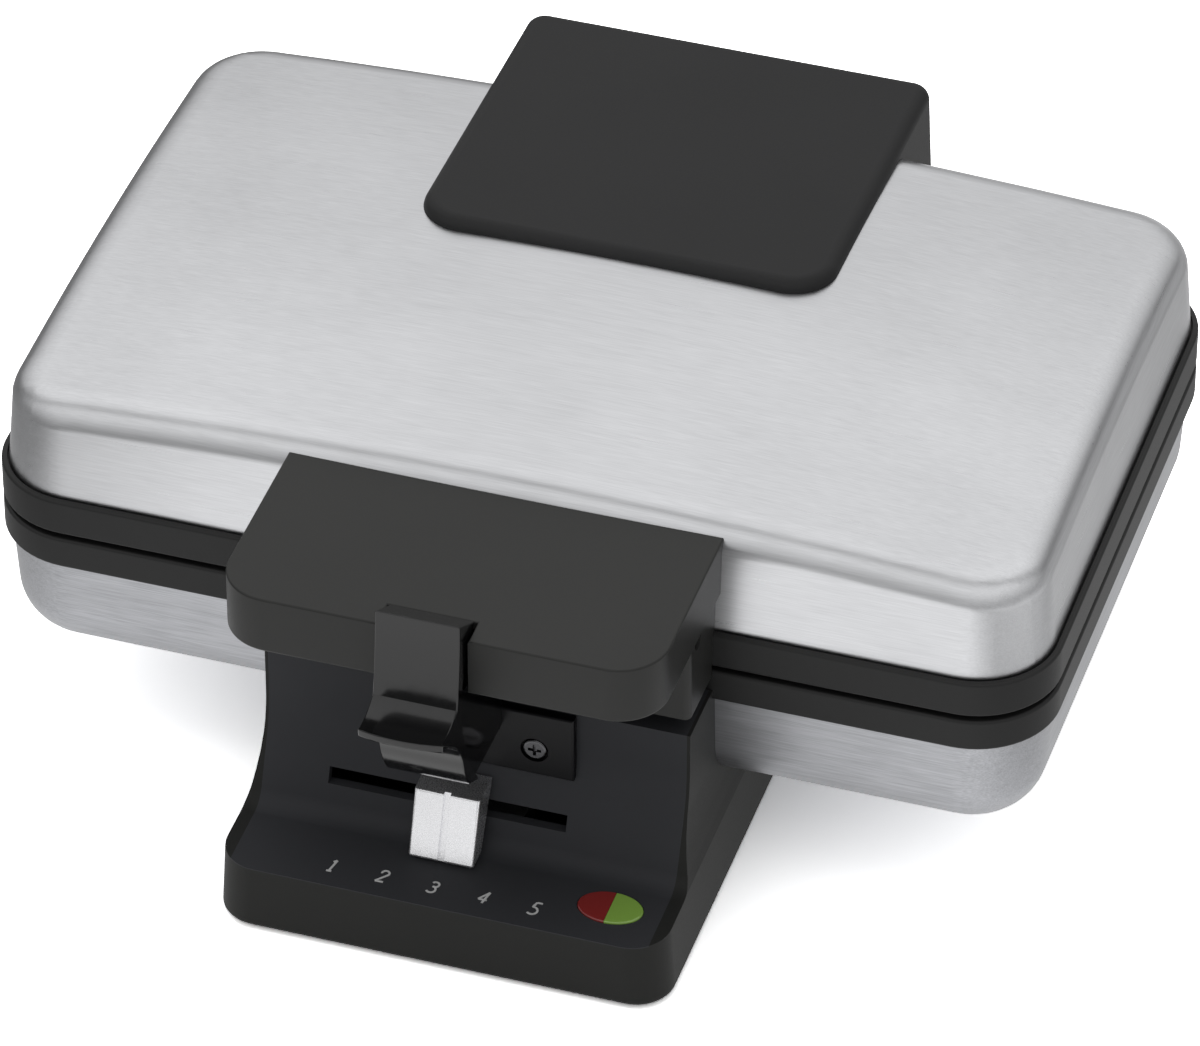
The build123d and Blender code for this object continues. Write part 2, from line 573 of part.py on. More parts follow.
def build_base_housing():
    """The black foot: neck, control shelf, underframe and rear tower with hinge ears."""
    body = foot_form()
    body = fillet([e for e in level(body.edges(), FOOT_UNDERSIDE)
                   if e.center().Y < FOOT_BACK - 20], FOOT_EDGE)
    for side in (-1, 1):
        stem = block((EAR_INNER, EAR_INNER + EAR_WIDTH),
                     (HINGE_Y - HINGE_BARREL_RADIUS, HINGE_Y + EAR_STEM_BACK),
                     (TOWER_TOP - BASE_WALL, HINGE_Z))
        barrel = rod(HINGE_BARREL_RADIUS, (EAR_INNER, HINGE_Y, HINGE_Z),
                     (EAR_INNER + EAR_WIDTH, HINGE_Y, HINGE_Z))
        ear = stem + barrel
        body += ear if side > 0 else mirror(ear, about=Plane.YZ)
    body -= pan_form() + rim_block(LOWER_RIM_LOW, LOWER_RIM_TOP)
    hollow = foot_form(BASE_WALL) - pan_form(-BASE_WALL) - rim_block(LOWER_RIM_LOW, LOWER_RIM_TOP, BASE_WALL)
    body -= hollow
    body -= rod(HINGE_PIN_RADIUS, (-60, HINGE_Y, HINGE_Z), (60, HINGE_Y, HINGE_Z))
    # bosses for the slider's rods, the catch plate's screws and the bottom cover's screws
    for y in (ROD_FRONT_Y, ROD_BACK_Y):
        for side in (-1, 1):
            x_out = side * (NECK_HALF_WIDTH + 1)
            boss = rod(ROD_RADIUS + 2, (side * (NECK_HALF_WIDTH - 8), y, ROD_Z), (x_out, y, ROD_Z))
            body += boss - rod(ROD_RADIUS, (side * 20, y, ROD_Z), (side * (NECK_HALF_WIDTH - 2), y, ROD_Z))
    for x in (CATCH_SCREW_X, CATCH_SCREW_HIDDEN_X):
        body += rod(BOSS_RADIUS, (x, NECK_FRONT + 0.5, CATCH_SCREW_Z), (x, NECK_FRONT + 11, CATCH_SCREW_Z))
        body -= rod(PILOT_RADIUS, (x, NECK_FRONT - 5, CATCH_SCREW_Z), (x, NECK_FRONT + 9, CATCH_SCREW_Z))
    for x, y in cover_screw_points():
        top = (SHELL_UNDERSIDE if y > NECK_FRONT else FOOT_SHELF) - 1.0
        body += rod(BOSS_RADIUS, (x, y, FOOT_UNDERSIDE + COVER_SHEET + COVER_GAP), (x, y, top))
        body -= rod(PILOT_RADIUS, (x, y, FOOT_UNDERSIDE), (x, y, FOOT_UNDERSIDE + BOTTOM_SCREW_LENGTH + 4))
    # screws that hold the shell and rim, the control pin, the slider's slot, the lens and the lead
    for x, y in pillar_points():
        body -= rod(2.2, (x, y, SHELL_UNDERSIDE - 6), (x, y, SHELL_UNDERSIDE + 1))
    body -= rod(CONTROL_PIN_RADIUS + 2, (THERMOSTAT_X, THERMOSTAT_Y, SHELL_UNDERSIDE - 6),
                (THERMOSTAT_X, THERMOSTAT_Y, SHELL_UNDERSIDE + 1))
    body -= block((SLOT_LEFT, SLOT_RIGHT), (NECK_FLARE_FOOT - 5, NECK_FRONT + BASE_WALL + 3),
                  (SLOT_LOW, SLOT_HIGH))
    body -= block((CATCH_LEFT, CATCH_RIGHT), (NECK_FRONT - CATCH_THICKNESS, NECK_FRONT),
                  (CATCH_BOTTOM, CATCH_TOP))
    body -= catch_window(BASE_WALL + 1.0, HALF_GAP)
    body -= lens_blank(FOOT_SHELF - BASE_WALL - 1, FOOT_SHELF + 3, HALF_GAP / 2)
    return body - gland_slab(FOOT_BACK - BASE_WALL - 5, FOOT_BACK + 5, 0, FOOT_UNDERSIDE - 1)


def cover_screw_points():
    """Places of the bottom cover's screws."""
    right = [COVER_SCREW_FRONT] + [(COVER_SCREW_X, y) for y in COVER_SCREW_ROWS]
    return [(side * x, y) for side in (-1, 1) for x, y in right]


def foot_pad_points():
    """Places of the rubber feet."""
    return [(sx * FOOT_PAD_X, y) for sx in (-1, 1) for y in (FOOT_PAD_FRONT, FOOT_PAD_BACK)]


def build_bottom_cover():
    """The flat plate that closes the foot from below."""
    grown = BASE_WALL + COVER_GAP
    low = FOOT_UNDERSIDE
    plate_body = foot_form(grown) & block((-100, 100), (-200, 200), (low, low + COVER_SHEET))
    for x, y in foot_pad_points():
        plate_body += Pos(x, y, low + COVER_SHEET) * Cylinder(FOOT_PAD_RADIUS + 1.5, COVER_SHEET)
        plate_body -= rod(FOOT_PAD_RADIUS, (x, y, 0), (x, y, low + FOOT_PAD_SINK))
    for x, y in cover_screw_points():
        plate_body -= rod(CLEAR_RADIUS, (x, y, 0), (x, y, low + 2 * COVER_SHEET))
        plate_body -= rod(FLAT_HEAD_SINK, (x, y, 0), (x, y, low + SCREW_SINK))
    return plate_body


def build_rubber_feet():
    """Four round pads in the cover's recesses."""
    pads = []
    for x, y in foot_pad_points():
        pad = rod(FOOT_PAD_RADIUS, (x, y, 0), (x, y, FOOT_UNDERSIDE + FOOT_PAD_SINK))
        pads.append(fillet(level(pad.edges(), 0), 0.4))
    return Part() + pads


def build_bottom_screws():
    """Screws that hold the bottom cover."""
    one = Rot(180, 0, 0) * screw(FLAT_HEAD_RADIUS, FLAT_HEAD_HEIGHT, PILOT_RADIUS, BOTTOM_SCREW_LENGTH)
    return Part() + [Pos(x, y, FOOT_UNDERSIDE + SCREW_SINK) * one for x, y in cover_screw_points()]


def build_body_screws():
    """Long screws from inside the foot through shell and pillar."""
    one = Rot(180, 0, 0) * screw(BODY_HEAD_RADIUS, PAN_HEAD_HEIGHT, CLEAR_RADIUS, BODY_SCREW_LENGTH)
    return Part() + [Pos(x, y, SHELL_UNDERSIDE - BASE_WALL) * one for x, y in pillar_points()]


# ---------------------------------------------------------------- lower half
def build_lower_shell():
    """The steel pan under the lower plate."""
    pan = pan_form() - pan_form(STEEL_THICKNESS)
    for x, y in pillar_points():
        pan -= rod(2.2, (x, y, SHELL_UNDERSIDE - 1), (x, y, SHELL_UNDERSIDE + 3))
    pan -= rod(CONTROL_PIN_RADIUS + 2, (THERMOSTAT_X, THERMOSTAT_Y, SHELL_UNDERSIDE - 1),
               (THERMOSTAT_X, THERMOSTAT_Y, SHELL_UNDERSIDE + 3))
    pan -= rod(8.0, (GLAND_X, 30, SHELL_UNDERSIDE - 1), (GLAND_X, 30, SHELL_UNDERSIDE + 3))
    return pan


def build_lower_rim():
    """The lower rim with four pillars that stand on the shell's floor."""
    ring = rim(LOWER_RIM_LOW, LOWER_RIM_TOP, LOWER_BACK, 1)
    for x, y in pillar_points():
        ring += rod(PILLAR_RADIUS, (x, y, SHELL_UNDERSIDE + STEEL_THICKNESS), (x, y, LOWER_RIM_LOW + 1))
        ring -= rod(CLEAR_RADIUS, (x, y, SHELL_UNDERSIDE), (x, y, SHELL_UNDERSIDE + BODY_SCREW_LENGTH - 1))
    for x, y in plate_screw_points():
        ring -= rod(PLATE_SCREW_RADIUS + 0.2, (x, y, LOWER_RIM_LOW - 1), (x, y, LOWER_BACK + 1))
    return ring


def build_lower_reflector():
    """The lower tray, with a hole for the thermostat's neck."""
    tray = reflector(LOWER_RIM_LOW, -1)
    z = LOWER_RIM_LOW - REFLECTOR_TRAY_DROP
    return tray - rod(THERMOSTAT_NECK_RADIUS + 1, (THERMOSTAT_X, THERMOSTAT_Y, z - 3),
                      (THERMOSTAT_X, THERMOSTAT_Y, z + 3))


# ---------------------------------------------------------------- temperature control
def ramp_height(offset_x):
    """Height of the ramp above the table at a distance from the thermostat's pin, at rest."""
    return ROD_Z + CARRIAGE_THICKNESS / 2 + RAMP_HEIGHT + RAMP_SLOPE * offset_x


def build_thermostat():
    """The switch block against the plate's back with a threaded neck below it."""
    x, y = THERMOSTAT_X, THERMOSTAT_Y
    low = LOWER_BACK - THERMOSTAT_HEIGHT
    body = block((x - THERMOSTAT_LENGTH / 2, x + THERMOSTAT_LENGTH / 2),
                 (y - THERMOSTAT_DEPTH / 2, y + THERMOSTAT_DEPTH / 2), (low, LOWER_BACK))
    body = chamfer(body.edges().filter_by(Axis.Z), 1.5)
    body += rod(THERMOSTAT_NECK_RADIUS, (x, y, low + 1), (x, y, low - THERMOSTAT_NECK_LENGTH))
    for side in (-1, 1):
        blade_x = x + side * (THERMOSTAT_LENGTH / 2 - 6)
        blade_y = y + THERMOSTAT_DEPTH / 2
        body += block((blade_x - 3, blade_x + 3), (blade_y - 1, blade_y + 7), (low + 2, low + 2.8))
    return body - rod(CONTROL_PIN_RADIUS + RUNNING, (x, y, low - 20), (x, y, low + CONTROL_PIN_DEPTH + 3))


def build_thermostat_pin():
    """The control pin; its round tip rides on the slider's ramp."""
    x, y = THERMOSTAT_X, THERMOSTAT_Y
    top = LOWER_BACK - THERMOSTAT_HEIGHT + CONTROL_PIN_DEPTH - 2.0
    tilt = atan(RAMP_SLOPE)
    tip_centre = ramp_height(0) + (CONTROL_PIN_RADIUS + RUNNING) / cos(tilt)
    return rod(CONTROL_PIN_RADIUS, (x, y, tip_centre), (x, y, top)) + \
        Pos(x, y, tip_centre) * Sphere(CONTROL_PIN_RADIUS)


def build_slider_rods():
    """Two steel rods that guide the carriage."""
    length = NECK_HALF_WIDTH - 2
    return Part() + [rod(ROD_RADIUS, (-length, y, ROD_Z), (length, y, ROD_Z))
                     for y in (ROD_FRONT_Y, ROD_BACK_Y)]


def build_slider_carriage():
    """The carriage on its two rods, with the stem through the slot and the ramp."""
    x = KNOB_CENTRE
    half = CARRIAGE_WIDTH / 2
    low, high = ROD_Z - CARRIAGE_THICKNESS / 2, ROD_Z + CARRIAGE_THICKNESS / 2
    body = block((x - half, x + half), (ROD_FRONT_Y - 4, ROD_BACK_Y + 4), (low, high))
    body -= block((x - half + 4, x + half - 4), (ROD_FRONT_Y + 6, ROD_BACK_Y - 6), (low - 1, high + 1))
    stem_x = (x + STEM_OFFSET - STEM_WIDTH / 2, x + STEM_OFFSET + STEM_WIDTH / 2)
    post = block(stem_x, (ROD_FRONT_Y - 4, ROD_FRONT_Y), (high - 1, SLOT_HIGH - HALF_GAP))
    arm = block(stem_x, (NECK_FLARE_FOOT - 3, ROD_FRONT_Y), (SLOT_LOW + HALF_GAP, SLOT_HIGH - HALF_GAP))
    reach = TRAVEL_RIGHT + RAMP_END, TRAVEL_LEFT + RAMP_END
    slope_y = (THERMOSTAT_Y - RAMP_WIDTH / 2, THERMOSTAT_Y + RAMP_WIDTH / 2)
    outline = Polygon((THERMOSTAT_X - reach[0], high - 2.5), (THERMOSTAT_X + reach[1], high - 2.5),
                      (THERMOSTAT_X + reach[1], ramp_height(reach[1])),
                      (THERMOSTAT_X - reach[0], ramp_height(-reach[0])), align=None)
    ramp = Pos(0, slope_y[0], 0) * extrude(Plane.XZ * outline, RAMP_WIDTH, dir=(0, 1, 0))
    link = block((x - half, x + half), (ROD_BACK_Y, slope_y[1]), (low, high))
    body = body + post + arm + link + ramp
    for y in (ROD_FRONT_Y, ROD_BACK_Y):
        body -= rod(ROD_RADIUS + RUNNING, (x - half - 1, y, ROD_Z), (x + half + 1, y, ROD_Z))
    return body


def build_slider_knob():
    """The silver knob: a leaning front with a groove, and a socket for the stem."""
    left, right = KNOB_CENTRE - KNOB_WIDTH / 2, KNOB_CENTRE + KNOB_WIDTH / 2
    back_low = foot_front_at(KNOB_BOTTOM) - KNOB_GAP - KNOB_HEEL
    back_high = foot_front_at(KNOB_TOP) - KNOB_GAP
    outline = Polygon((KNOB_FRONT_LOW, KNOB_BOTTOM), (KNOB_FRONT_HIGH, KNOB_TOP), (back_high, KNOB_TOP),
                      (back_low + KNOB_HEEL, KNOB_BOTTOM + 6), (back_low, KNOB_BOTTOM), align=None)
    body = side_prism(outline, left, right)
    body = fillet([e for e in body.edges() if e.center().Y < KNOB_FRONT_HIGH + 1], KNOB_EDGE)
    lean = atan((KNOB_FRONT_HIGH - KNOB_FRONT_LOW) / (KNOB_TOP - KNOB_BOTTOM))
    groove = Box(KNOB_GROOVE_WIDTH, 2 * KNOB_GROOVE_DEPTH, 2 * KNOB_TOP)
    middle = ((KNOB_FRONT_LOW + KNOB_FRONT_HIGH) / 2, (KNOB_BOTTOM + KNOB_TOP) / 2)
    body -= Pos(KNOB_CENTRE, *middle) * Rot(degrees(-lean), 0, 0) * groove
    stem_x = (KNOB_CENTRE + STEM_OFFSET - STEM_WIDTH / 2, KNOB_CENTRE + STEM_OFFSET + STEM_WIDTH / 2)
    body -= block(stem_x, (NECK_FLARE_FOOT - 3, NECK_FRONT + 5), (SLOT_LOW + HALF_GAP, SLOT_HIGH - HALF_GAP))
    return body


# ---------------------------------------------------------------- scale, indicator, lead inlet
def numeral_strokes(digit):
    """Strokes of a numeral in a box one unit high: two points make a line, three an arc."""
    return {
        1: [((0.30, 0), (0.30, 1)), ((0.30, 1), (0.14, 0.84)), ((0.14, 0), (0.46, 0))],
        2: [((0.08, 0.74), (0.31, 1), (0.52, 0.70)), ((0.52, 0.70), (0.05, 0)), ((0.05, 0), (0.55, 0))],
        3: [((0.08, 0.84), (0.50, 0.76), (0.22, 0.54)), ((0.22, 0.54), (0.53, 0.26), (0.05, 0.10))],
        4: [((0.40, 0), (0.40, 1)), ((0.40, 1), (0.03, 0.30)), ((0.03, 0.30), (0.56, 0.30))],
        5: [((0.52, 1), (0.18, 1)), ((0.18, 1), (0.12, 0.58)), ((0.12, 0.58), (0.54, 0.34), (0.05, 0.05))],
    }[digit]


def build_scale_numbers():
    """The numerals 1 to 5 in slightly raised print on the sloping shelf."""
    slope = atan(FOOT_SHELF_RISE / (NECK_FLARE_FOOT - FOOT_FRONT))
    shelf = Plane((0, FOOT_FRONT, FOOT_SHELF), x_dir=(1, 0, 0), z_dir=(0, -sin(slope), cos(slope)))
    numerals = []
    for digit in range(1, 6):
        middle = NUMBER_MIDDLE_X + (digit - 3) * NUMBER_PITCH
        figure = Sketch()
        for stroke in numeral_strokes(digit):
            points = [(middle + NUMBER_HEIGHT * (u - 0.3 + NUMBER_SLANT * (v - 0.5)),
                       NUMBER_Y - FOOT_FRONT + NUMBER_HEIGHT * (v - 0.5)) for u, v in stroke]
            line = Line(*points) if len(points) == 2 else ThreePointArc(*points)
            figure += trace(line, NUMBER_STROKE)
        numerals.append(extrude(shelf * figure, NUMBER_PRINT))
    return Part() + numerals


def lens_blank(low, high, grow=0.0):
    """An upright oval prism at the indicator."""
    oval = Ellipse(LENS_HALF_LENGTH + grow, LENS_HALF_DEPTH + grow)
    return Pos(LENS_X, LENS_Y, low) * extrude(oval, high - low)


def build_lens(side):
    """One half of the indicator window, flanged under the shelf and domed on top."""
    top = FOOT_SHELF + LENS_PROUD
    inner = FOOT_SHELF - BASE_WALL
    body = lens_blank(inner - 0.2, top)
    body = fillet(level(body.edges(), top), LENS_PROUD * 0.8)
    body += lens_blank(inner - 1.4, inner - 0.2, LENS_FLANGE)
    split = LENS_SPLIT_GAP / 2
    keep = (LENS_X + split, LENS_X + 30) if side > 0 else (LENS_X - 30, LENS_X - split)
    return body & block(keep, (LENS_Y - 20, LENS_Y + 20), (0, 40))


def build_lamp_board():
    """The small board that hangs under the window on two posts."""
    x = LENS_X - BOARD_LENGTH / 2, LENS_X + BOARD_LENGTH / 2
    y = LENS_Y - BOARD_DEPTH / 2 + 3, LENS_Y + BOARD_DEPTH / 2 + 4
    board = block(x, y, (BOARD_Z, BOARD_Z + BOARD_THICKNESS))
    for px in (x[0] + 2.5, x[1] - 2.5):
        board += rod(1.5, (px, y[1] - 2, BOARD_Z + 0.5), (px, y[1] - 2, FOOT_SHELF - BASE_WALL))
    return board


def build_lamps():
    """Two small lamps, one under each half of the window."""
    lamps = []
    for side in (-1, 1):
        x = LENS_X + side * LENS_HALF_LENGTH / 2
        base = BOARD_Z + BOARD_THICKNESS
        lamps.append(rod(LAMP_RADIUS, (x, LENS_Y, base), (x, LENS_Y, base + LAMP_LENGTH)) +
                     Pos(x, LENS_Y, base + LAMP_LENGTH) * Sphere(LAMP_RADIUS))
    return Part() + lamps


def gland_slab(y_from, y_to, grow, low):
    """A slice of the inlet block, grown on its sides and top."""
    half = GLAND_SLOT_HALF + grow
    return block((GLAND_X - half, GLAND_X + half), (y_from, y_to), (low, GLAND_Z + half))


def build_cord_gland():
    """The rubber inlet block: it slides into the rear wall and holds the lead in its bush."""
    start = FOOT_BACK - GLAND_LENGTH + GLAND_FLANGE
    inner = FOOT_BACK - BASE_WALL
    flange_low = FOOT_UNDERSIDE + COVER_SHEET + COVER_GAP
    body = gland_slab(FOOT_BACK, FOOT_BACK + GLAND_FLANGE, GLAND_LIP, flange_low)
    body = fillet([e for e in body.edges() if e.center().Y > FOOT_BACK + GLAND_FLANGE - 0.1], 0.8)
    body += gland_slab(inner, FOOT_BACK, 0, FOOT_UNDERSIDE)
    body += gland_slab(inner - GLAND_INNER_FLANGE, inner, GLAND_LIP, flange_low)
    body += rod(GLAND_RADIUS, (GLAND_X, start, GLAND_Z), (GLAND_X, inner, GLAND_Z))
    return body - rod(GLAND_BORE, (GLAND_X, start - 5, GLAND_Z), (GLAND_X, FOOT_BACK + 9, GLAND_Z))


def build_terminal_block():
    """The block on the bottom cover that joins the lead to the inner wires."""
    low = FOOT_UNDERSIDE + COVER_SHEET
    y = TERMINAL_BLOCK_Y
    body = block((GLAND_X - 15, GLAND_X + 9), (y - 8, y + 8), (low, low + 12))
    for i in range(3):
        x = GLAND_X - 11 + i * 8
        body -= rod(2.2, (x, y - 9, low + 5), (x, y + 9, low + 5))
        body -= rod(1.8, (x, y, low + 5), (x, y, low + 13))
    return body


def build_hinge_pins():
    """Two headed pins, one for each ear."""
    inner = EAR_INNER - HALF_GAP - KNUCKLE_WIDTH
    outer = EAR_INNER + EAR_WIDTH
    pin = rod(HINGE_PIN_RADIUS, (inner, HINGE_Y, HINGE_Z), (outer, HINGE_Y, HINGE_Z))
    head = rod(HINGE_HEAD_RADIUS, (outer, HINGE_Y, HINGE_Z), (outer + HINGE_HEAD_LENGTH, HINGE_Y, HINGE_Z))
    return mirrored(pin + head)


def build_catch_plate():
    """The striker plate on the neck's front, with countersunk screw holes."""
    front = NECK_FRONT - CATCH_THICKNESS
    body = block((CATCH_LEFT, CATCH_RIGHT), (front, NECK_FRONT), (CATCH_BOTTOM, CATCH_TOP))
    body = chamfer([e for e in body.edges() if abs(e.center().Y - front) < 0.01], CATCH_EDGE)
    for x in (CATCH_SCREW_X, CATCH_SCREW_HIDDEN_X):
        body -= rod(CLEAR_RADIUS, (x, front - 1, CATCH_SCREW_Z), (x, NECK_FRONT + 1, CATCH_SCREW_Z))
        body -= rod(HEAD_RADIUS + 0.5, (x, front - 1, CATCH_SCREW_Z),
                    (x, front + CATCH_HEAD_SINK, CATCH_SCREW_Z))
    return body - catch_window(1.0)


def build_catch_screws():
    """Two screws that hold the catch plate."""
    seat = NECK_FRONT - CATCH_THICKNESS + CATCH_HEAD_SINK
    one = Rot(90, 0, 0) * screw(HEAD_RADIUS, CATCH_HEAD_HEIGHT, PILOT_RADIUS, CATCH_SCREW_LENGTH)
    return Part() + [Pos(x, seat, CATCH_SCREW_Z) * one for x in (CATCH_SCREW_X, CATCH_SCREW_HIDDEN_X)]


# ---------------------------------------------------------------- lid
def wall_blocks(y_side, xs, z_low, z_high):
    """Screw blocks that stand on the upper rim against the lid's wall."""
    y_inner = y_side * (REFLECTOR_BRIM_DEPTH / 2 + HALF_GAP)
    blocks = [block((x - 7, x + 7), sorted((y_inner, y_side * RIM_DEPTH / 2)), (z_low, z_high))
              for x in xs]
    return (Part() + blocks) & lid_form(STEEL_THICKNESS)


def wall_hole(x, y_side, z, radius):
    """A hole along Y through the lid's front or rear wall and the screw block behind it."""
    return rod(radius, (x, y_side * (RIM_DEPTH / 2 - 14.5), z), (x, y_side * (RIM_DEPTH / 2 + 1.5), z))


def build_upper_rim():
    """The upper rim with screw blocks for the handle and the rear cover."""
    ring = rim(UPPER_RIM_LOW, UPPER_RIM_TOP, UPPER_BACK, -1)
    front = wall_blocks(-1, (-HANDLE_SCREW_X, HANDLE_SCREW_X), UPPER_RIM_TOP - 2, HANDLE_SCREW_Z + 7)
    back = wall_blocks(1, (-REAR_SCREW_X, REAR_SCREW_X), UPPER_RIM_TOP - 2, REAR_SCREW_Z + 6)
    ring = ring + front + back
    for side in (-1, 1):
        ring -= wall_hole(side * HANDLE_SCREW_X, -1, HANDLE_SCREW_Z, PILOT_RADIUS)
        ring -= wall_hole(side * REAR_SCREW_X, 1, REAR_SCREW_Z, PILOT_RADIUS)
    for x, y in plate_screw_points():
        ring -= rod(PLATE_SCREW_RADIUS + 0.2, (x, y, UPPER_BACK - 1), (x, y, UPPER_RIM_TOP + 1))
    return ring


def build_lid_shell():
    """The brushed steel lid with screw holes in its front and rear walls."""
    lid = lid_form() - lid_form(STEEL_THICKNESS)
    for side in (-1, 1):
        lid -= wall_hole(side * HANDLE_SCREW_X, -1, HANDLE_SCREW_Z, CLEAR_RADIUS)
        lid -= wall_hole(side * REAR_SCREW_X, 1, REAR_SCREW_Z, CLEAR_RADIUS)
    return lid


def build_thermal_fuse():
    """The cut-out on the upper plate's back, under a small clamp."""
    x, y, z = 0.0, 20.0, UPPER_BACK
    clamp = block((x - 9, x + 9), (y - 4, y + 4), (z, z + 1.2))
    return clamp + rod(3.0, (x - 7, y, z + 3.4), (x + 7, y, z + 3.4))


def grip_form(inside=0.0):
    """The handle slab, or the hollow inside it."""
    half = GRIP_HALF_WIDTH - inside
    front, back = GRIP_FRONT + inside, -RIM_DEPTH / 2 + 12
    low, high = GRIP_LOW - (20 if inside else 0), GRIP_TOP - inside
    body = block((-half, half), (front, back), (low, high))
    corners = [e for e in body.edges().filter_by(Axis.Z) if e.center().Y < front + 1]
    body = fillet(corners, GRIP_CORNER - inside)
    if not inside:
        ends = [e for e in level(body.edges(), low) if abs(e.center().X) > half - 12 and e.center().Y < -92]
        body = fillet(ends + [e for e in level(body.edges(), low) if e.center().Y < front + 1], 1.0)
    return body


def latch_notch():
    """Room for the latch in the grip's front."""
    half = LATCH_WIDTH / 2 + LATCH_SIDE_GAP
    return block((LATCH_CENTRE - half, LATCH_CENTRE + half), (GRIP_FRONT - 5, NOTCH_BACK),
                 (GRIP_LOW - 5, GRIP_TOP + 5))


def build_handle_grip():
    """The black handle slab, hollow from below and notched for the latch."""
    body = grip_form() - grip_form(GRIP_WALL) - lid_form() - latch_notch()
    for side in (-1, 1):
        x = side * GRIP_SCREW_X
        body += rod(BOSS_RADIUS, (x, GRIP_SCREW_Y, GRIP_LOW + GRIP_FLOOR + 0.4),
                    (x, GRIP_SCREW_Y, GRIP_TOP - 1))
        body -= rod(PILOT_RADIUS, (x, GRIP_SCREW_Y, GRIP_LOW), (x, GRIP_SCREW_Y, GRIP_TOP - 5))
    return body


def build_handle_base():
    """The cheek under the slab with the slab's floor and the latch's housing."""
    low, floor_top = CHEEK_BOTTOM, GRIP_LOW + GRIP_FLOOR
    half = CHEEK_HALF_WIDTH
    cheek = block((-half, half), (CHEEK_FRONT, CHEEK_BACK + 6), (low, GRIP_LOW))
    cheek = fillet([e for e in cheek.edges().filter_by(Axis.Z) if e.center().Y < CHEEK_FRONT + 1], 2.0)
    floor = grip_form(GRIP_WALL + COVER_GAP) & block((-200, 200), (GRIP_FRONT, 0), (GRIP_LOW, floor_top))
    body = cheek + floor - block((-half + CHEEK_WALL, half - CHEEK_WALL),
                                 (CHEEK_FRONT + CHEEK_WALL, CHEEK_BACK - CHEEK_WALL),
                                 (low + CHEEK_WALL, floor_top + 1))
    body -= rim_block(UPPER_RIM_LOW, UPPER_RIM_TOP) + lid_form()
    body -= block((-200, 200), (CHEEK_BACK, 0), (low - 1, UPPER_RIM_LOW + 1))
    slot_half = LATCH_WIDTH / 2 - LATCH_WEB_INSET + LATCH_SIDE_GAP
    slot_back = LATCH_PIVOT_Y + LATCH_BOSS_RADIUS + 0.6
    body -= block((LATCH_CENTRE - slot_half, LATCH_CENTRE + slot_half), (GRIP_FRONT, slot_back),
                  (low - 1, floor_top + 1))
    for side in (-1, 1):
        xs = sorted((LATCH_CENTRE + side * slot_half, LATCH_CENTRE + side * (slot_half + LATCH_CHEEK_WALL)))
        body += block(xs, (CHEEK_FRONT + 1, slot_back), (low + 1, LATCH_PIVOT_Z + LATCH_BOSS_RADIUS))
    pivot = (LATCH_PIVOT_Y, LATCH_PIVOT_Z)
    body -= rod(LATCH_PIN_RADIUS, (-half + CHEEK_WALL / 2, *pivot), (half + 1, *pivot))
    body -= rod(LATCH_PIN_HEAD_RADIUS, (half - LATCH_PIN_SINK, *pivot), (half + 1, *pivot))
    for side in (-1, 1):
        x = side * HANDLE_SCREW_X
        body -= rod(CLEAR_RADIUS, (x, CHEEK_BACK + 6, HANDLE_SCREW_Z), (x, CHEEK_BACK - 7, HANDLE_SCREW_Z))
        x = side * GRIP_SCREW_X
        body -= rod(CLEAR_RADIUS, (x, GRIP_SCREW_Y, GRIP_LOW - 2), (x, GRIP_SCREW_Y, floor_top + 2))
        body -= rod(FLAT_HEAD_SINK, (x, GRIP_SCREW_Y, GRIP_LOW - 2), (x, GRIP_SCREW_Y, GRIP_LOW + SCREW_SINK))
    return body


def build_handle_screws():
    """Screws through cheek and lid wall into the rim's front blocks."""
    seat = CHEEK_BACK - CHEEK_WALL
    one = Rot(90, 0, 0) * screw(HEAD_RADIUS, PAN_HEAD_HEIGHT, PILOT_RADIUS, HANDLE_SCREW_LENGTH)
    return mirrored(Pos(HANDLE_SCREW_X, seat, HANDLE_SCREW_Z) * one)


def build_grip_screws():
    """Screws from below that hold the slab on its floor."""
    one = Rot(180, 0, 0) * screw(FLAT_HEAD_RADIUS, FLAT_HEAD_HEIGHT, PILOT_RADIUS, GRIP_SCREW_LENGTH)
    return mirrored(Pos(GRIP_SCREW_X, GRIP_SCREW_Y, GRIP_LOW + SCREW_SINK) * one)


def rear_cover_form(inside=0.0):
    """The rear cover's outer shape, or the hollow inside it."""
    half = REAR_COVER_HALF_WIDTH - inside
    front, back = REAR_COVER_FRONT + inside, REAR_COVER_BACK - inside
    top = REAR_COVER_TOP + 4
    outline = Polyline((-half, front), (half, front), (half, back), (-half, back), (-half, front))
    face = make_face(outline)
    face = fillet([v for v in face.vertices() if v.Y < front + 1], REAR_COVER_FRONT_CORNER - inside)
    face = fillet([v for v in face.vertices() if v.Y > back - 1], REAR_COVER_BACK_CORNER - inside)
    low = REAR_COVER_BOTTOM - (10 if inside else 0)
    body = extrude(Pos(0, 0, top) * face, top - low, dir=(0, 0, -1), taper=-REAR_COVER_DRAFT)
    top_front, reach = REAR_COVER_TOP - inside, back - front + 20
    drop = tan(radians(REAR_COVER_FALL)) * reach
    roof = Polygon((front - 20, 0), (front + reach, 0), (front + reach, top_front - drop),
                   (front, top_front), (front - 20, top_front), align=None)
    body &= side_prism(roof, -2 * half, 2 * half)
    if inside:
        return body
    upper = [e for e in body.edges() if e.center().Z > REAR_COVER_TOP - 8 and e.bounding_box().size.Z < 6.5]
    return fillet(upper, REAR_COVER_EDGE)


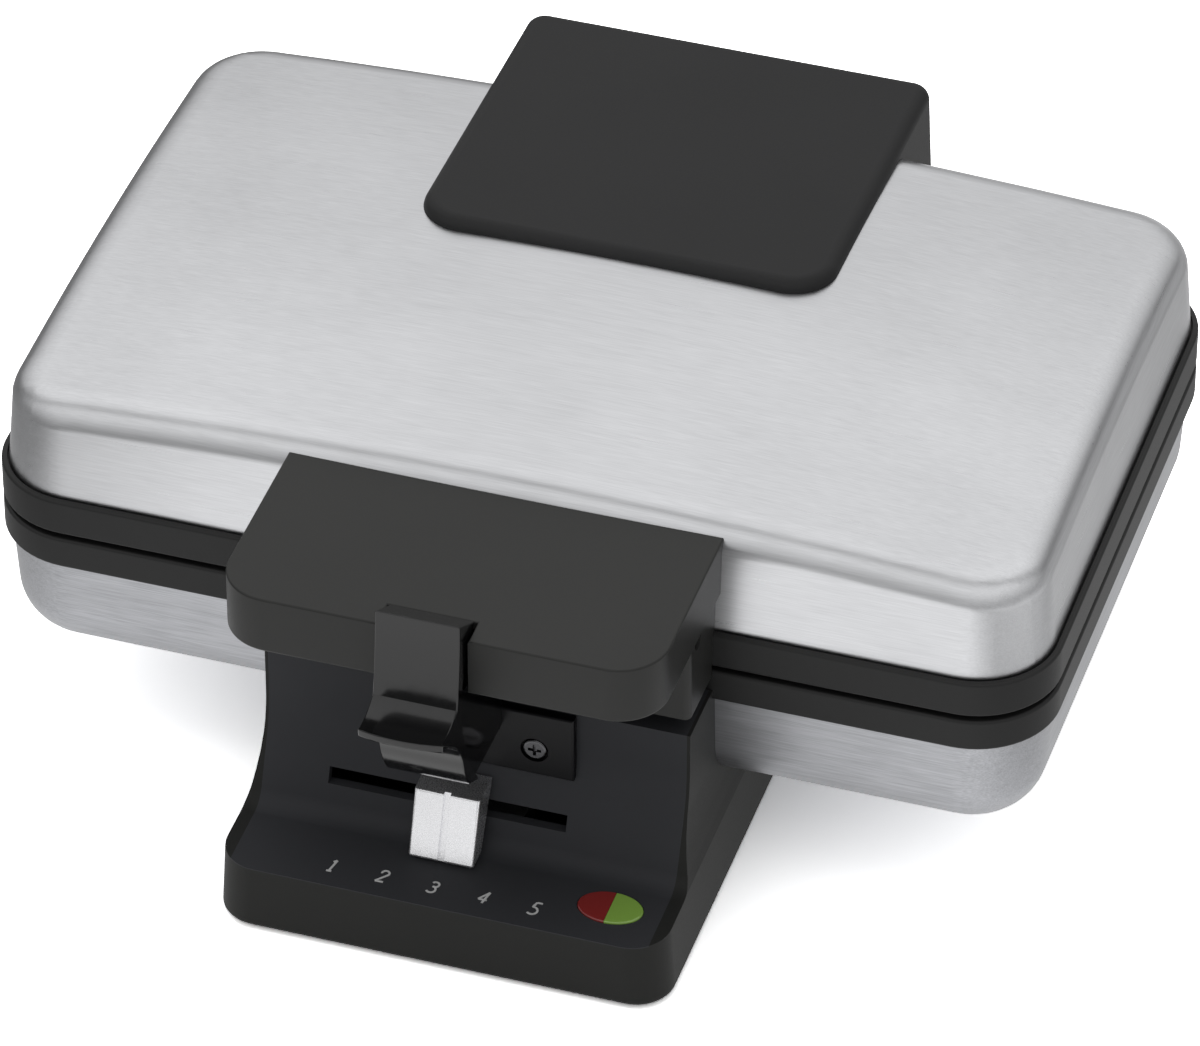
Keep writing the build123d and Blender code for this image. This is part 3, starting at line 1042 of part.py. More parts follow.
def build_rear_cover():
    """The black cover over the lid's back, with hinge knuckles and screw tubes."""
    body = rear_cover_form() - rear_cover_form(REAR_COVER_WALL)
    for side in (-1, 1):
        tube = rod(TUBE_RADIUS, (side * REAR_SCREW_X, STEEL_DEPTH / 2 - 6, REAR_SCREW_Z),
                   (side * REAR_SCREW_X, REAR_COVER_BACK, REAR_SCREW_Z))
        body += tube
    xs = (EAR_INNER - HALF_GAP - KNUCKLE_WIDTH, EAR_INNER - HALF_GAP)
    web = block(xs, (HINGE_Y - HINGE_BARREL_RADIUS, REAR_COVER_BACK + 0.5),
                (HINGE_Z + KNUCKLE_WEB_LOW, HINGE_Z + KNUCKLE_WEB_HIGH))
    neck = block(xs, (HINGE_Y - HINGE_BARREL_RADIUS, HINGE_Y + HINGE_BARREL_RADIUS), (HINGE_Z, HINGE_Z + 10))
    barrel = rod(HINGE_BARREL_RADIUS, (xs[0], HINGE_Y, HINGE_Z), (xs[1], HINGE_Y, HINGE_Z))
    body += mirrored(web + neck + barrel)
    body -= rod(HINGE_PIN_RADIUS + RUNNING, (-60, HINGE_Y, HINGE_Z), (60, HINGE_Y, HINGE_Z))
    body -= lid_form() + rim_block(UPPER_RIM_LOW, UPPER_RIM_TOP)
    for side in (-1, 1):
        x = side * REAR_SCREW_X
        body -= rod(CLEAR_RADIUS, (x, RIM_DEPTH / 2 - 14, REAR_SCREW_Z),
                    (x, REAR_COVER_BACK + 12, REAR_SCREW_Z))
        body -= rod(HEAD_RADIUS + HALF_GAP, (x, REAR_COVER_BACK - REAR_HEAD_SINK, REAR_SCREW_Z),
                    (x, REAR_COVER_BACK + 12, REAR_SCREW_Z))
    return body


def build_rear_cover_screws():
    """Long screws from the back through the tubes into the rim's rear blocks."""
    one = Rot(-90, 0, 0) * screw(HEAD_RADIUS, PAN_HEAD_HEIGHT, PILOT_RADIUS, REAR_SCREW_LENGTH)
    return mirrored(Pos(REAR_SCREW_X, REAR_COVER_BACK - REAR_HEAD_SINK, REAR_SCREW_Z) * one)


# ---------------------------------------------------------------- latch
def from_pivot(back, up):
    """A point of the latch's side view, given from its pivot."""
    return LATCH_PIVOT_Y + back, LATCH_PIVOT_Z + up


def build_latch():
    """The latch lever: face plate with thumb lip, narrower web, boss and nose."""
    half = LATCH_WIDTH / 2
    points = {name: from_pivot(*place) for name, place in LATCH_FACE.items()}
    arcs = (("top_front", "front_bow", "ledge"), ("ledge", "lip_dip", "lip_top"),
            ("lip_low", "lip_under", "heel"), ("heel", "toe_bow", "toe_front"),
            ("toe_back", "back_bow", "knee"))
    outline = [ThreePointArc(*(points[name] for name in arc)) for arc in arcs]
    wedge_back = (LATCH_TOP_REAR, GRIP_TOP + LATCH_OVER_GRIP)
    outline += [Line(points["lip_top"], points["lip_low"]), Line(points["toe_front"], points["toe_back"]),
                ThreePointArc(points["knee"], points["wedge_bow"], wedge_back),
                Line(wedge_back, points["top_front"])]
    plate_body = side_prism(make_face(outline), LATCH_CENTRE - half, LATCH_CENTRE + half)
    lip_side, lip_middle = LATCH_PIVOT_Y + LATCH_LIP_SIDE, LATCH_PIVOT_Y + LATCH_LIP_MIDDLE
    left, right = LATCH_CENTRE - half, LATCH_CENTRE + half
    bow = make_face(ThreePointArc((left, lip_side), (LATCH_CENTRE, lip_middle), (right, lip_side))
                    + Polyline((right, lip_side), (right, NECK_FRONT), (left, NECK_FRONT), (left, lip_side)))
    plate_body &= Pos(0, 0, CATCH_BOTTOM) * extrude(bow, REAR_COVER_TOP)
    web_half = half - LATCH_WEB_INSET
    rear = NECK_FRONT - CATCH_THICKNESS - HALF_GAP
    web = [from_pivot(*place) for place in LATCH_WEB]
    web[6:6] = [(rear, LATCH_PIVOT_Z + LATCH_WEB[5][1]), (rear, LATCH_PIVOT_Z + LATCH_WEB_LOW)]
    web_body = side_prism(Polygon(*web, align=None), LATCH_CENTRE - web_half, LATCH_CENTRE + web_half)
    pivot = from_pivot(0, 0)
    boss = rod(LATCH_BOSS_RADIUS, (LATCH_CENTRE - web_half, *pivot), (LATCH_CENTRE + web_half, *pivot))
    bore = rod(LATCH_PIN_RADIUS + RUNNING, (left - 1, *pivot), (right + 1, *pivot))
    return plate_body + web_body + boss + latch_nose(rear) - bore


def latch_nose(root):
    """The hook under the catch's strip; its top is an arc about the pivot, so that it swings out."""
    pivot = Vector(LATCH_PIVOT_Y, LATCH_PIVOT_Z)
    reach = (pivot - Vector(NECK_FRONT - CATCH_THICKNESS, CATCH_STRIP_BOTTOM)).length + HALF_GAP
    middle = (root + NOSE_BACK) / 2

    def on_arc(y):
        return (y, LATCH_PIVOT_Z - (reach ** 2 - (y - LATCH_PIVOT_Y) ** 2) ** 0.5)

    front = root - 2.0
    outline = make_face(ThreePointArc(on_arc(front), on_arc(middle), on_arc(NOSE_BACK)) +
                        Polyline(on_arc(NOSE_BACK), (NOSE_BACK, NOSE_BOTTOM), (front, NOSE_BOTTOM + 1.0),
                                 on_arc(front)))
    half = NOSE_WIDTH / 2
    return side_prism(outline, LATCH_CENTRE - half, LATCH_CENTRE + half)


def catch_window(depth, grow=0.0):
    """The opening that takes the latch's nose, cut back from the catch's front."""
    half = NOSE_WIDTH / 2 + CATCH_WINDOW_SIDE_GAP + grow
    front = NECK_FRONT - CATCH_THICKNESS - 1
    return block((LATCH_CENTRE - half, LATCH_CENTRE + half), (front, NECK_FRONT + depth),
                 (CATCH_WINDOW_BOTTOM - grow, CATCH_STRIP_BOTTOM + grow))


def build_latch_pin():
    """The latch's pivot pin across the cheek, put in from the right."""
    half = CHEEK_HALF_WIDTH
    pivot = (LATCH_PIVOT_Y, LATCH_PIVOT_Z)
    return rod(LATCH_PIN_RADIUS, (-half + CHEEK_WALL / 2, *pivot), (half - LATCH_PIN_SINK, *pivot))


def build_latch_spring():
    """A torsion spring round the pin beside the lever."""
    start = LATCH_CENTRE - LATCH_WIDTH / 2 - 14
    length = SPRING_PITCH * SPRING_TURNS
    coil = Helix(SPRING_PITCH, length, SPRING_RADIUS, center=(start, LATCH_PIVOT_Y, LATCH_PIVOT_Z),
                 direction=(1, 0, 0))
    return sweep(Plane(coil @ 0, z_dir=coil % 0) * Circle(SPRING_WIRE), coil)


# ---------------------------------------------------------------- all nodes
def build_all():
    """Every node of the part, in the plates' own frame."""
    lower_out, upper_out = 1, -1
    lower_centre = LOWER_BACK + ELEMENT_SINK - ELEMENT_RADIUS
    upper_centre = UPPER_BACK - ELEMENT_SINK + ELEMENT_RADIUS
    lower_plate = plate(LOWER_FACE, LOWER_BACK)
    return {
        "base_housing": build_base_housing(),
        "bottom_cover": build_bottom_cover(),
        "bottom_screws": build_bottom_screws(),
        "rubber_feet": build_rubber_feet(),
        "body_screws": build_body_screws(),
        "lower_shell": build_lower_shell(),
        "lower_rim": build_lower_rim(),
        "lower_plate": lower_plate,
        "lower_plate_screws": plate_screws(LOWER_BACK, lower_out, LOWER_RIM_LOW),
        "lower_element": element_solid(lower_centre, -1, ELEMENT_RADIUS),
        "lower_reflector": build_lower_reflector(),
        "thermostat": build_thermostat(),
        "thermostat_pin": build_thermostat_pin(),
        "slider_rods": build_slider_rods(),
        "slider_carriage": build_slider_carriage(),
        "slider_knob": build_slider_knob(),
        "scale_numbers": build_scale_numbers(),
        "lens_red": build_lens(-1),
        "lens_green": build_lens(1),
        "lamp_board": build_lamp_board(),
        "lamps": build_lamps(),
        "cord_gland": build_cord_gland(),
        "terminal_block": build_terminal_block(),
        "hinge_pins": build_hinge_pins(),
        "catch_plate": build_catch_plate(),
        "catch_screws": build_catch_screws(),
        "lid_shell": build_lid_shell(),
        "upper_rim": build_upper_rim(),
        "upper_plate": mirror(lower_plate, about=Plane((0, 0, (LOWER_FACE + UPPER_FACE) / 2))),
        "upper_plate_screws": plate_screws(UPPER_BACK, upper_out, UPPER_RIM_TOP),
        "upper_element": element_solid(upper_centre, 1, ELEMENT_RADIUS),
        "upper_reflector": reflector(UPPER_RIM_TOP, 1),
        "thermal_fuse": build_thermal_fuse(),
        "handle_grip": build_handle_grip(),
        "handle_base": build_handle_base(),
        "handle_screws": build_handle_screws(),
        "grip_screws": build_grip_screws(),
        "rear_cover": build_rear_cover(),
        "rear_cover_screws": build_rear_cover_screws(),
        "latch_lever": build_latch(),
        "latch_pin": build_latch_pin(),
        "latch_spring": build_latch_spring(),
    }


def main():
    """Write each node with the origin under the middle of the footprint."""
    os.makedirs("parts", exist_ok=True)
    nodes = build_all()
    boxes = [shape.bounding_box() for shape in nodes.values()]
    front, back = min(b.min.Y for b in boxes), max(b.max.Y for b in boxes)
    shift = -(front + back) / 2
    print(f"depth {back - front:.2f}, plates' middle at Y {shift:.3f}")
    for name, shape in nodes.items():
        export_step(Pos(0, shift, 0) * shape, f"parts/{name}.step")


main()
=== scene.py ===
"""Pizzelle maker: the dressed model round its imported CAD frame, and the studio that shows it."""
from math import cos, pi, radians, sin, tan

import bmesh
import bpy
from bpy.props import FloatProperty, FloatVectorProperty, PointerProperty
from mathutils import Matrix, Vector


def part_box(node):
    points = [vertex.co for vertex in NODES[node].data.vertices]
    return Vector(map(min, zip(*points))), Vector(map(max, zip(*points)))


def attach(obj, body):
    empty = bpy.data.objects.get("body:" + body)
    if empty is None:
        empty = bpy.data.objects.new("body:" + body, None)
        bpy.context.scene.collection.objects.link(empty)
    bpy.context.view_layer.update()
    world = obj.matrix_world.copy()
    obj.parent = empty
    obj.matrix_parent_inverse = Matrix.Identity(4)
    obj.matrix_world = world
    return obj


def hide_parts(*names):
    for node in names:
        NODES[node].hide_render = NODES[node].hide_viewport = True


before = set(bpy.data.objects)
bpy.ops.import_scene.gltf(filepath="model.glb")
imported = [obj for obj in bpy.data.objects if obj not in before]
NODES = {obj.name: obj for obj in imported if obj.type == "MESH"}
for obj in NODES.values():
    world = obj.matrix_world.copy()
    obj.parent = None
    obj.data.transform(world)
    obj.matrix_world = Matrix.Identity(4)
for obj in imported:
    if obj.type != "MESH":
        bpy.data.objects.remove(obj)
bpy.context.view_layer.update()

bl_info = {
    "name": "Pizzelle maker",
    "version": (1, 0, 0),
    "blender": (4, 5, 0),
    "location": "View3D > Sidebar > Pizzelle",
    "description": "Builds the visible pieces of a hinged pizzelle maker round its CAD frame",
    "category": "Object",
}

MM = 0.001
MERGE = 1e-6                    # points closer than this are one
NEAR = 0.1 * MM                 # how near a plane counts as on it

# The steel shells
PLATE_MIDDLE_Y = (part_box("lower_rim")[0].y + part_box("lower_rim")[1].y) / 2
STEEL_SHEET = 0.9 * MM
SHELL_CORNER = 22.0 * MM
LID_DRAFT = radians(4.6)
LID_EDGE = 10.0 * MM
LID_GRID = 24, 16
CROWN_X = 1.888                 # radius of the lid's dome from side to side, in metres
CROWN_Y = 0.950                 # and from front to back
PAN_DRAFT = radians(3.4)
PAN_EDGE = 16.0 * MM
PAN_GRID = 12, 8

# The foot's outer faces
NECK_HALF = 60.0 * MM
NECK_SIDE_LOW = 44.0 * MM       # height below which the neck's sides run outwards
SHELF = 21.8 * MM
SHELF_SPREAD = 2.4 * MM
FOOT_CORNER = 11.0 * MM
PANEL_MARGIN = 0.9 * MM         # edge of the smooth panel inside the neck's sides
PANEL_LIP = 0.3 * MM            # edge of the smooth panel under the shelf's face

# Rounded edges that are too fine for the CAD
FOOT_ROUND = 1.6 * MM
SLAB_ROUND = 1.2 * MM
LATCH_ROUND = 0.45 * MM
GROOVE_ROUND = 0.4 * MM
CATCH_ROUND = 0.15 * MM
FOLD = radians(30)              # an edge turned less than this isn't rounded
CRISP = 30                      # an edge turned more than this many degrees is shaded crisp
SHEET_CRISP = 40                # the same for the steel

# Surface finishes
GRAIN_DEPTH = 0.03 * MM
POLISHED_DEPTH = 0.01 * MM
BRUSH_DEPTH = 0.012 * MM
CLOUD_SIZE = 30 * MM
COARSE_LINES = 5.0              # size of the streaks against the fine lines
SIDEWAYS = 0.75                 # faces whose normal's X is above this are brushed along Y
PLAIN_SPECULAR = 0.16           # weak gloss of grained plastic
HANDLE_LIFT = 1.05              # the handle is a little lighter than the foot

# Light: how bright the surround and the floor are to each kind of ray
WHITE = 1, 1, 1, 1
AMBIENT = 0.6                   # the surround on dull surfaces
MIRROR_GLOW = 0.45              # the floor in steel, besides what falls on it
CAMERA_FLOOR = 3.4              # the floor to the camera, against what falls on it
SOFT_BOX = -0.237, 0.745, 0.624  # direction of the soft box's middle
SOFT_BOX_EDGE = (0.26, 0.95), (0.38, 0.45), (0.48, 0.45), (0.60, 1.0)
MIRRORED_HEIGHT = (0.02, 0.40), (0.34, 0.72), (0.60, 0.98), (0.74, 1.10)
DULL_HEIGHT = (0.0, 0.45), (0.8, 1.25)
# painted shade on the floor, seen only in reflections: darker to the right, to the far left and
# towards the back
FLOOR_SHADE_ACROSS = (0.22, 0.25), (0.36, 1.0), (0.66, 1.0), (0.75, 0.45), (0.84, 0.70)
FLOOR_SHADE_AWAY = (0.42, 1.0), (0.75, 0.6)
FLOOR_SIZE = 12
FLOOR_DROP = 0.05 * MM          # the floor lies this far under the rubber feet
LAMP_TARGET = 0, 0, 0.05
CAMERA_TARGET = -1.714 * MM, 25.671 * MM, 38.595 * MM


# ---------------------------------------------------------------- sizes and colours
class SteelSettings(bpy.types.PropertyGroup):
    """The two brushed steel shells."""
    lid_colour: FloatVectorProperty(
        name="Lid colour", description="Steel of the lid", subtype="COLOR", size=3,
        default=(0.62, 0.625, 0.64), min=0, max=1)
    pan_colour: FloatVectorProperty(
        name="Shell colour", description="Steel of the lower shell", subtype="COLOR", size=3,
        default=(0.42, 0.425, 0.445), min=0, max=1)
    line_width: FloatProperty(
        name="Line width", description="Width of one brushed line", default=0.28 * MM,
        min=0.0001, max=0.005, subtype="DISTANCE", unit="LENGTH")
    line_length: FloatProperty(
        name="Line length", description="Length of one brushed line", default=12 * MM,
        min=0.001, max=0.2, subtype="DISTANCE", unit="LENGTH")


class PlasticSettings(bpy.types.PropertyGroup):
    """The black mouldings."""
    housing_colour: FloatVectorProperty(
        name="Housing colour", description="Foot, handle and cheek", subtype="COLOR", size=3,
        default=(0.0185, 0.0187, 0.0175), min=0, max=1)
    panel_colour: FloatVectorProperty(
        name="Panel colour", description="Smooth face round the heat control", subtype="COLOR",
        size=3, default=(0.036, 0.037, 0.041), min=0, max=1)
    cover_colour: FloatVectorProperty(
        name="Cover colour", description="Rear cover of the lid", subtype="COLOR", size=3,
        default=(0.018, 0.018, 0.0185), min=0, max=1)
    rim_colour: FloatVectorProperty(
        name="Rim colour", description="Both rims round the plates", subtype="COLOR", size=3,
        default=(0.017, 0.017, 0.017), min=0, max=1)
    latch_colour: FloatVectorProperty(
        name="Latch colour", description="Polished latch lever", subtype="COLOR", size=3,
        default=(0.004, 0.004, 0.0043), min=0, max=1)
    grain: FloatProperty(
        name="Grain", description="Size of the moulded grain", default=0.5 * MM,
        min=0.0001, max=0.003, subtype="DISTANCE", unit="LENGTH")


class ControlSettings(bpy.types.PropertyGroup):
    """Knob, numerals and indicator window."""
    knob_colour: FloatVectorProperty(
        name="Knob colour", description="Silver finish of the slider's knob", subtype="COLOR",
        size=3, default=(0.93, 0.93, 0.95), min=0, max=1)
    print_colour: FloatVectorProperty(
        name="Print colour", description="Ink of the numerals", subtype="COLOR", size=3,
        default=(0.55, 0.55, 0.55), min=0, max=1)
    red: FloatVectorProperty(
        name="Red half", description="Red half of the window", subtype="COLOR", size=3,
        default=(0.24, 0.022, 0.020), min=0, max=1)
    green: FloatVectorProperty(
        name="Green half", description="Green half of the window", subtype="COLOR", size=3,
        default=(0.24, 0.42, 0.07), min=0, max=1)


class StageSettings(bpy.types.PropertyGroup):
    """Camera, lamps and floor."""
    azimuth: FloatProperty(
        name="Azimuth", description="Camera's turn to the right of the front",
        default=radians(17.675), subtype="ANGLE", unit="ROTATION")
    elevation: FloatProperty(
        name="Elevation", description="Camera's angle above the table",
        default=radians(38.595), subtype="ANGLE", unit="ROTATION")
    distance: FloatProperty(
        name="Distance", description="Camera to the point it looks at",
        default=2.320364, min=0.1, subtype="DISTANCE", unit="LENGTH")
    lens: FloatProperty(
        name="Lens", description="Focal length on a 36 mm sensor, in millimetres",
        default=248.48, min=10, max=1000)
    floor_colour: FloatVectorProperty(
        name="Floor colour", description="Pale floor", subtype="COLOR", size=3,
        default=(0.90, 0.90, 0.90), min=0, max=1)
    key_power: FloatProperty(
        name="Key lamp", description="Power of the large lamp over the object",
        default=6.0, min=0, subtype="POWER", unit="POWER")
    fill_power: FloatProperty(
        name="Fill lamp", description="Power of the lamp at the front left",
        default=2.0, min=0, subtype="POWER", unit="POWER")


# ---------------------------------------------------------------- making shapes
def deselect():
    """Leaves object mode with nothing selected."""
    if bpy.context.object and bpy.context.object.mode != "OBJECT":
        bpy.ops.object.mode_set(mode="OBJECT")
    bpy.ops.object.select_all(action="DESELECT")


def take(piece):
    """Makes one object the only selected and active one."""
    deselect()
    piece.select_set(True)
    bpy.context.view_layer.objects.active = piece


def name_piece(piece, name):
    """Names an object and its mesh."""
    piece.name = name
    piece.data.name = name
    return piece


def edit(piece, what="EDGE", choose="DESELECT"):
    """Opens a piece in edit mode with all or nothing selected, and returns its editable mesh."""
    take(piece)
    bpy.ops.object.mode_set(mode="EDIT")
    bpy.ops.mesh.select_mode(type=what)
    bpy.ops.mesh.select_all(action=choose)
    return bmesh.from_edit_mesh(piece.data)


def close():
    """Leaves edit mode."""
    bpy.ops.object.mode_set(mode="OBJECT")


def select_edges(mesh, test):
    """Selects the edges that pass a test."""
    chosen = [edge for edge in mesh.edges if test(edge)]
    if not chosen:
        raise RuntimeError("No edge passes the test")
    for edge in chosen:
        edge.select_set(True)


def apply_modifier(piece, kind, **settings):
    """Adds a modifier, sets it and applies it."""
    take(piece)
    modifier = piece.modifiers.new(kind.title(), kind)
    for key, value in settings.items():
        setattr(modifier, key, value)
    bpy.ops.object.modifier_apply(modifier=modifier.name)


def smooth(piece, angle=CRISP):
    """Smooth shading with crisp edges above an angle and even light on flat faces."""
    take(piece)
    bpy.ops.object.shade_smooth_by_angle(angle=radians(angle))
    apply_modifier(piece, "WEIGHTED_NORMAL", keep_sharp=True, weight=60)


def cad_copy(node, name):
    """A merged copy of a CAD node, with its flat faces made whole."""
    take(NODES[node])
    bpy.ops.object.duplicate()
    piece = name_piece(bpy.context.object, name)
    piece.parent = None
    for key in [k for k in piece.keys() if k.startswith("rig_")]:
        del piece[key]
    edit(piece, "VERT", "SELECT")
    bpy.ops.mesh.customdata_custom_splitnormals_clear()
    bpy.ops.mesh.remove_doubles(threshold=MERGE)
    bpy.ops.mesh.dissolve_limited(angle_limit=radians(0.6))
    close()
    return piece


def round_where(piece, test, width, segments=3, clamp=True):
    """Rounds the outward edges whose two ends pass a test of their place."""
    select_edges(edit(piece), lambda edge: edge.is_manifold
                 and edge.calc_face_angle_signed(0) > FOLD
                 and all(test(vert.co) for vert in edge.verts))
    bpy.ops.mesh.bevel(offset=width, segments=segments, affect="EDGES", clamp_overlap=clamp,
                       miter_outer="ARC")
    close()


def wrap_up(piece, body, slot_name, finish, *nodes):
    """Gives a finished piece its body and material, and hides the nodes it stands for; its slot
    name is not used.
    """
    piece.data.materials.clear()
    piece.data.materials.append(finish_of(finish))
    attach(piece, body)
    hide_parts(*nodes)


def dress(node, finish):
    """Gives a CAD node's object a better material."""
    holder = NODES[node]
    if not holder.material_slots:
        raise RuntimeError(f"{node} has no material slot")
    for slot in holder.material_slots:
        slot.link = "OBJECT"
        slot.material = finish_of(finish)


# ---------------------------------------------------------------- making materials
def put(tree, kind, values=None, **settings):
    """A node with its settings and its socket values."""
    node = tree.nodes.new(kind)
    for key, value in settings.items():
        setattr(node, key, value)
    for key, value in (values or {}).items():
        node.inputs[key].default_value = value
    return node


def join(tree, *pairs):
    """Links outputs to inputs."""
    for start, end in pairs:
        tree.links.new(start, end)


def feed(tree, socket, value):
    """Links a socket to another, or sets its value."""
    if isinstance(value, bpy.types.NodeSocket):
        tree.links.new(value, socket)
    else:
        socket.default_value = value


def maths(tree, what, first, second):
    """A Math node; each of its two terms is a socket or a number."""
    node = put(tree, "ShaderNodeMath", operation=what)
    feed(tree, node.inputs[0], first)
    feed(tree, node.inputs[1], second)
    return node.outputs[0]


def noise(tree, where, detail, roughness, scale=1.0):
    """A noise pattern at a place."""
    node = put(tree, "ShaderNodeTexNoise",
               {"Scale": scale, "Detail": detail, "Roughness": roughness})
    tree.links.new(where, node.inputs["Vector"])
    return node.outputs["Fac"]


def ramp(tree, value, steps):
    """Turns a value into another by straight steps."""
    node = tree.nodes.new("ShaderNodeValToRGB")
    stops = node.color_ramp.elements
    for _ in steps[2:]:
        stops.new(0.5)
    for stop, (place, level) in zip(stops, steps):
        stop.position = place
        stop.color = (level, level, level, 1)
    tree.links.new(value, node.inputs["Fac"])
    return node.outputs["Color"]


def new_group(name, inputs, outputs):
    """An empty node group with named sockets."""
    group = bpy.data.node_groups.new(name, "ShaderNodeTree")
    for label, kind, value in inputs:
        made = group.interface.new_socket(label, in_out="INPUT", socket_type=kind)
        if value is not None:
            made.default_value = value
    for label, kind in outputs:
        group.interface.new_socket(label, in_out="OUTPUT", socket_type=kind)
    return group, group.nodes.new("NodeGroupInput"), group.nodes.new("NodeGroupOutput")


def make_brushing():
    """Fine lines along X, or along Y on faces that look sideways."""
    group, start, end = new_group(
        "Brushed lines",
        [("Position", "NodeSocketVector", None), ("Facing", "NodeSocketVector", None),
         ("Line width", "NodeSocketFloat", 0.0004), ("Line length", "NodeSocketFloat", 0.02)],
        [("Lines", "NodeSocketFloat"), ("Streaks", "NodeSocketFloat")])
    split = put(group, "ShaderNodeSeparateXYZ")
    face = put(group, "ShaderNodeSeparateXYZ")
    join(group, (start.outputs["Position"], split.inputs[0]),
         (start.outputs["Facing"], face.inputs[0]))
    width, length = start.outputs["Line width"], start.outputs["Line length"]
    x, y, z = split.outputs

    def lines(along, across, coarse):
        """One pattern, long in one direction and narrow in the two others."""
        where = put(group, "ShaderNodeCombineXYZ")
        for axis, (place, size) in enumerate(((along, length), (across, width), (z, width))):
            scaled = maths(group, "DIVIDE", place, maths(group, "MULTIPLY", size, coarse))
            join(group, (scaled, where.inputs[axis]))
        return noise(group, where.outputs[0], 2.0, 0.6)

    sideways = maths(group, "GREATER_THAN",
                     maths(group, "ABSOLUTE", face.outputs[0], 0.0), SIDEWAYS)
    for label, coarse in (("Lines", 1.0), ("Streaks", COARSE_LINES)):
        pick = put(group, "ShaderNodeMix", data_type="FLOAT")
        join(group, (sideways, pick.inputs[0]), (lines(x, y, coarse), pick.inputs[2]),
             (lines(y, x, coarse), pick.inputs[3]), (pick.outputs[0], end.inputs[label]))
    return group


def swing(group, start):
    """How far a mask stands from one half, times the amount."""
    return maths(group, "MULTIPLY", maths(group, "SUBTRACT", start.outputs["Mask"], 0.5),
                 start.outputs["Amount"])


def make_tone():
    """Lightens and darkens a colour by a mask round one half."""
    group, start, end = new_group(
        "Tone", [("Colour", "NodeSocketColor", (0.5, 0.5, 0.5, 1)),
                 ("Mask", "NodeSocketFloat", 0.5), ("Amount", "NodeSocketFloat", 0.1)],
        [("Colour", "NodeSocketColor")])
    times = put(group, "ShaderNodeVectorMath", operation="SCALE")
    join(group, (start.outputs["Colour"], times.inputs[0]),
         (maths(group, "ADD", swing(group, start), 1.0), times.inputs["Scale"]),
         (times.outputs[0], end.inputs["Colour"]))
    return group


def make_spread():
    """Maps a mask round one half to a value round a middle."""
    group, start, end = new_group(
        "Spread", [("Mask", "NodeSocketFloat", 0.5), ("Middle", "NodeSocketFloat", 0.5),
                   ("Amount", "NodeSocketFloat", 0.1)], [("Value", "NodeSocketFloat")])
    join(group, (maths(group, "ADD", start.outputs["Middle"], swing(group, start)),
                 end.inputs["Value"]))
    return group


def make_grain():
    """The fine sparkle of a moulded or cast face, and slow patches across it."""
    group, start, end = new_group(
        "Moulded grain",
        [("Position", "NodeSocketVector", None), ("Size", "NodeSocketFloat", 0.0005)],
        [("Grain", "NodeSocketFloat"), ("Patches", "NodeSocketFloat")])
    shrink = put(group, "ShaderNodeVectorMath", operation="SCALE")
    join(group, (start.outputs["Position"], shrink.inputs[0]),
         (maths(group, "DIVIDE", 1.0, start.outputs["Size"]), shrink.inputs["Scale"]))
    join(group, (noise(group, shrink.outputs[0], 3.0, 0.6), end.inputs["Grain"]),
         (noise(group, start.outputs["Position"], 3.0, 0.5, 22.0), end.inputs["Patches"]))
    return group


EFFECTS = {"Brushed lines": make_brushing, "Tone": make_tone, "Moulded grain": make_grain,
           "Spread": make_spread}
GROUPS = {}


def shared(tree, name, values=None):
    """Places a shared effect in a material."""
    if name not in GROUPS:
        GROUPS[name] = EFFECTS[name]()
    node = tree.nodes.new("ShaderNodeGroup")
    node.node_tree = GROUPS[name]
    node.label = name
    for key, value in (values or {}).items():
        node.inputs[key].default_value = value
    return node


def new_material(name, **shader_values):
    """A material whose plain values are set on its Principled shader's own sockets."""
    material = bpy.data.materials.new(name)
    material.use_nodes = True
    tree = material.node_tree
    shader = tree.nodes["Principled BSDF"]
    for key, value in shader_values.items():
        shader.inputs[key.replace("_", " ")].default_value = value
    return material, tree, shader, tree.nodes.new("ShaderNodeTexCoord")


def bump(tree, shader, height, depth, strength=0.5):
    """Feeds a height to the shader's normal; depth is in metres."""
    node = put(tree, "ShaderNodeBump", {"Strength": strength, "Distance": depth})
    join(tree, (height, node.inputs["Height"]), (node.outputs["Normal"], shader.inputs["Normal"]))


def varied(tree, shader, colour, mask, amount, rough_mask, roughness, rough_amount):
    """Colour and roughness that change over the surface; colour is a socket or a value."""
    tone = shared(tree, "Tone", {"Amount": amount})
    feed(tree, tone.inputs["Colour"], colour)
    spread = shared(tree, "Spread", {"Middle": roughness, "Amount": rough_amount})
    join(tree, (mask, tone.inputs["Mask"]), (tone.outputs["Colour"], shader.inputs["Base Color"]),
         (rough_mask, spread.inputs["Mask"]),
         (spread.outputs["Value"], shader.inputs["Roughness"]))


def grained(tree, shader, place, colour, grain, roughness, depth, amounts=(0.25, 0.14)):
    """A fine grain, with slow patches in the colour; amounts are those of colour and roughness."""
    skin = shared(tree, "Moulded grain", {"Size": grain})
    join(tree, (place.outputs["Object"], skin.inputs["Position"]))
    varied(tree, shader, colour, skin.outputs["Patches"], amounts[0],
           skin.outputs["Grain"], roughness, amounts[1])
    bump(tree, shader, skin.outputs["Grain"], depth)


